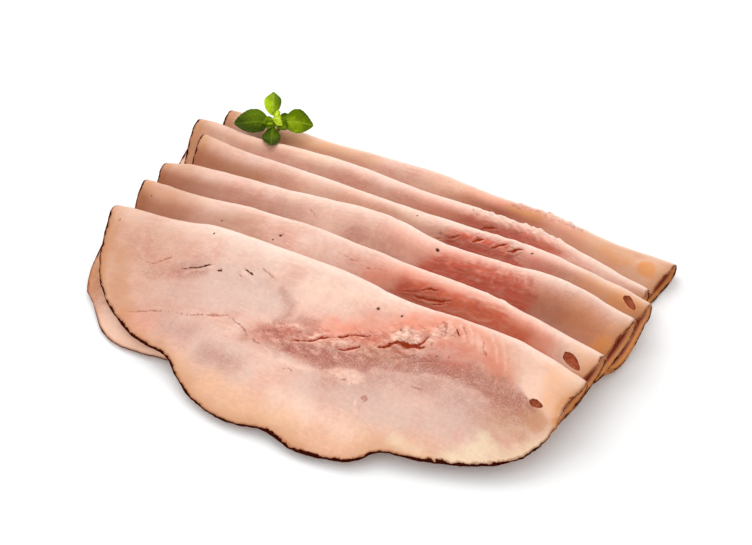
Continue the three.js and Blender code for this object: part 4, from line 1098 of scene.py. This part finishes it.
def buildLeaf(leaf, seed):
    half = (leaf["length"] / 2, leaf["width"] / 2)
    wide, high = basil["grid"]
    u, w, edge = roundedGrid(np.linspace(-1, 1, wide), np.linspace(-1, 1, high),
                             outlineReach(basil["outline"], (1, 1)), half)
    # midrib, and side veins that leave it at a slant and bend towards the tip
    along = u / half[0]
    w = w * (1 - leaf["point"] * np.clip(along, 0, 1) ** 2)
    aside = np.abs(w) / half[1]
    midrib = bell(w / (0.28 - 0.12 * along))               # mm, finer towards the tip
    phase = (along - 0.55 * aside - 0.25 * aside ** 2) * basil["veinsPerSide"]       # whole at each vein
    side = bell((phase - np.round(phase)) / 0.085) * (1 - bell(aside / 0.12)) * np.clip(1.25 - aside, 0, 1)
    side = side * (along > -0.9)
    puff = -basil["puff"] * np.cos(2 * math.pi * phase) * ramp(aside, 0, 0.4)
    lift = puff - basil["midribDepth"] * midrib - basil["veinDepth"] * side
    lift = (lift + 0.05 * latticeNoise(u, w, 0.8, seed)) * min(leaf["width"] / 8, 1)
    top, bottom = leafPlaces(leaf, u, w, lift), leafPlaces(leaf, u, w, lift * 0.6)
    bottom[:, 2] -= basil["thickness"] * np.sqrt(np.clip(1.04 - edge ** 8, 0, 1))
    ring = ringOf(wide, high)
    after = np.roll(ring, -1)
    faces = np.concatenate([gridQuads(wide, high), gridQuads(wide, high, len(top))[:, ::-1],
                            np.stack([after, ring, ring + len(top), after + len(top)], 1)])
    vein = np.clip((0.5 * midrib + 0.13 * side) * leaf["veins"], 0, 1)
    # darker towards the tip and the rim, and to one side by the leaf's shade
    tone = leaf["tone"] + 0.12 - 0.14 * along - 0.2 * edge ** 2 + leaf["shade"] * w / half[1]
    attributes = {"leafPlace": np.tile(np.stack([u, w, np.full(len(u), seed * 7.0)], 1), (2, 1)),
                  "leafTone": np.tile(tone, 2), "leafVein": np.concatenate([vein, vein * 0.5])}
    points = toMetres(np.concatenate([top, bottom]))
    return meshObject("basil_" + leaf["name"], points, faces.tolist(), attributes, leafGreen)


def buildTube(name, places, radii, tone):
    # a stalk or stem through places, closed at both ends
    places, count, sides = np.array(places, float), len(places), basil["tubeSides"]
    angles = np.arange(sides)[:, None] * 2 * math.pi / sides
    rings = []
    for i in range(count):
        ahead = places[min(i + 1, count - 1)] - places[max(i - 1, 0)]
        ahead /= np.linalg.norm(ahead)
        first = np.cross(ahead, [0.3, 0.2, 1.0])
        first /= np.linalg.norm(first)
        second = np.cross(ahead, first)
        rings.append(places[i] + radii[i] * (np.cos(angles) * first + np.sin(angles) * second))
    points = toMetres(np.concatenate(rings + [places[:1], places[-1:]]))
    faces = []
    start, end, last = count * sides, count * sides + 1, (count - 1) * sides
    for j in range(sides):
        k = (j + 1) % sides
        faces += [[i * sides + j, i * sides + k, (i + 1) * sides + k, (i + 1) * sides + j]
                  for i in range(count - 1)]
        faces += [[start, k, j], [end, last + j, last + k]]
    attributes = {"leafPlace": points * 1000, "leafTone": np.full(len(points), tone),
                  "leafVein": np.zeros(len(points))}
    return meshObject(name, points, faces, attributes, leafGreen)


def buildBud():
    # the closed young leaves in the middle, as overlapping scales round a core, each turned by 2.4 radians
    along = basil["bud"]["along"]
    core = [basilPlace + basilTurn @ np.array([along - 0.1 * i, 0.7 * i - 1.7, 0.7 + 0.3 * i])
            for i in range(6)]
    pieces = [buildTube("basil_budCore", core, [0.5, 1.1, 1.35, 1.3, 1.1, 0.6], 0.95)]
    for i in range(basil["bud"]["scales"]):
        leaf = {"name": f"budScale{i}", "turn": math.degrees(i * 2.4), "length": 2.9 - 0.1 * i,
                "width": 2.8 - 0.1 * i, "from": -0.6, "slope": 20 + 3 * i, "roll": 12, "droop": 0.6,
                "cup": 0.3, "point": 0, "tone": 1.0 - 0.02 * i, "shade": 0, "veins": 0}
        scale = buildLeaf(leaf, 60 + i)
        shift = basilTurn @ np.array([along - 0.05 * i, 0.38 * i - 1.5, 1.2 + 0.2 * i])
        scale.data.transform(Matrix.Translation(shift / 1000))
        pieces.append(scale)
    return pieces


def buildStalks():
    # the stem under the bud, and a stalk from it to each leaf
    bud = basil["bud"]
    heart, foot = (basilPlace + basilTurn @ np.array([bud["along"], 0, bud["rise"] - down])
                   for down in (0, basil["stemLength"]))
    steps = np.linspace(0, 1, 9)[:, None]
    stemRadii, stalkRadii = [0.45] + [0.62] * 6 + [0.8, 0.5], [0.5] * 5 + [0.42, 0.38, 0.3, 0.2]
    pieces = [buildTube("basil_stem", foot + (heart - foot) * steps, stemRadii, 0.45)]
    start = heart - basilTurn @ np.array([0, 0, 0.8])
    for leaf in basil["leaves"]:
        end = leafPlaces(leaf, np.array([1.4 - leaf["length"] / 2]), np.array([0.0]), np.array([-0.25]))[0]
        bowed = start + (end - start) * steps + np.sin(steps * math.pi) * np.array([0, 0, -0.25])
        pieces.append(buildTube("basil_stalk_" + leaf["name"], bowed, stalkRadii, 0.5))
    return pieces


basilPieces = [buildLeaf(leaf, 40 + i) for i, leaf in enumerate(basil["leaves"])]
basilPieces += buildBud() + buildStalks()
for piece in basilPieces:
    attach(piece, "root")
    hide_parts("basil_tip")
print("basil tip made,", len(basilPieces), "pieces")

# Camera, floor and light
stage = {
    "azimuth": 27.6, "elevation": 45, "distance": 0.85, "nearest": 0.01, "lens": 110.6,   # degrees, m, mm
    "lookAt": (-0.00214, 0.01821, 0),
    "floor": "#fefefe", "floorRoughness": 0.8, "floorHalf": 3, "floorLevel": -0.0002,   # where the rims rest
    "sky": "#ffffff", "skyStrength": 0.92,
    "lights": [      # place and size in metres, power in watts and tint
        ("windowBackLeft", (-0.7, 0.6, 1.0), 1.3, 7.8, (1, 0.99, 0.97)),
        ("fillFront", (-0.4, -1.1, 0.9), 1.2, 2, (1, 1, 1))],
}


def placeCamera():
    turn, rise = math.radians(stage["azimuth"]), math.radians(stage["elevation"])
    back = Vector((math.sin(turn) * math.cos(rise), -math.cos(turn) * math.cos(rise), math.sin(rise)))
    right = Vector((math.cos(turn), math.sin(turn), 0))
    camera = bpy.data.objects.new("camera", bpy.data.cameras.new("camera"))
    camera.data.lens, camera.data.clip_start = stage["lens"], stage["nearest"]
    camera.matrix_world = Matrix((right, back.cross(right), back)).transposed().to_4x4()
    camera.location = Vector(stage["lookAt"]) + back * stage["distance"]
    bpy.context.collection.objects.link(camera)
    bpy.context.scene.camera = camera


def placeLight(name, place, size, power, tint):
    # a soft square light that faces the middle of the ham
    light = bpy.data.objects.new(name, bpy.data.lights.new(name, "AREA"))
    light.data.size, light.data.energy, light.data.color = size, power, tint
    light.location = place
    light.rotation_euler = (-Vector(place)).to_track_quat("-Z", "Y").to_euler()
    bpy.context.collection.objects.link(light)


def makeFloor():
    # Smooth matt painted board, so pale that only soft shadows show on it.
    material, tree = emptyMaterial("paleMattBoard")
    surface = addNode(tree, "BsdfPrincipled", {
        "Base Color": stage["floor"], "Roughness": stage["floorRoughness"]})
    addNode(tree, "OutputMaterial", {"Surface": surface})
    corners = stage["floorHalf"] * np.array([(-1, -1, 0), (1, -1, 0), (1, 1, 0), (-1, 1, 0)], float)
    floor = meshObject("floor", corners, [[0, 1, 2, 3]], {}, material)
    floor.location.z = stage["floorLevel"]
    floor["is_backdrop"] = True


def makeSky():
    world = bpy.data.worlds.new("paleRoom")
    world.use_nodes = True
    background = world.node_tree.nodes["Background"]
    background.inputs["Color"].default_value = linearColour(stage["sky"])
    background.inputs["Strength"].default_value = stage["skyStrength"]
    bpy.context.scene.world = world


placeCamera()
makeFloor()
makeSky()
for light in stage["lights"]:
    placeLight(*light)
bpy.context.scene.view_settings.view_transform = "Standard"
print("stage set")

visualBox = [list(corner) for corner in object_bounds()]
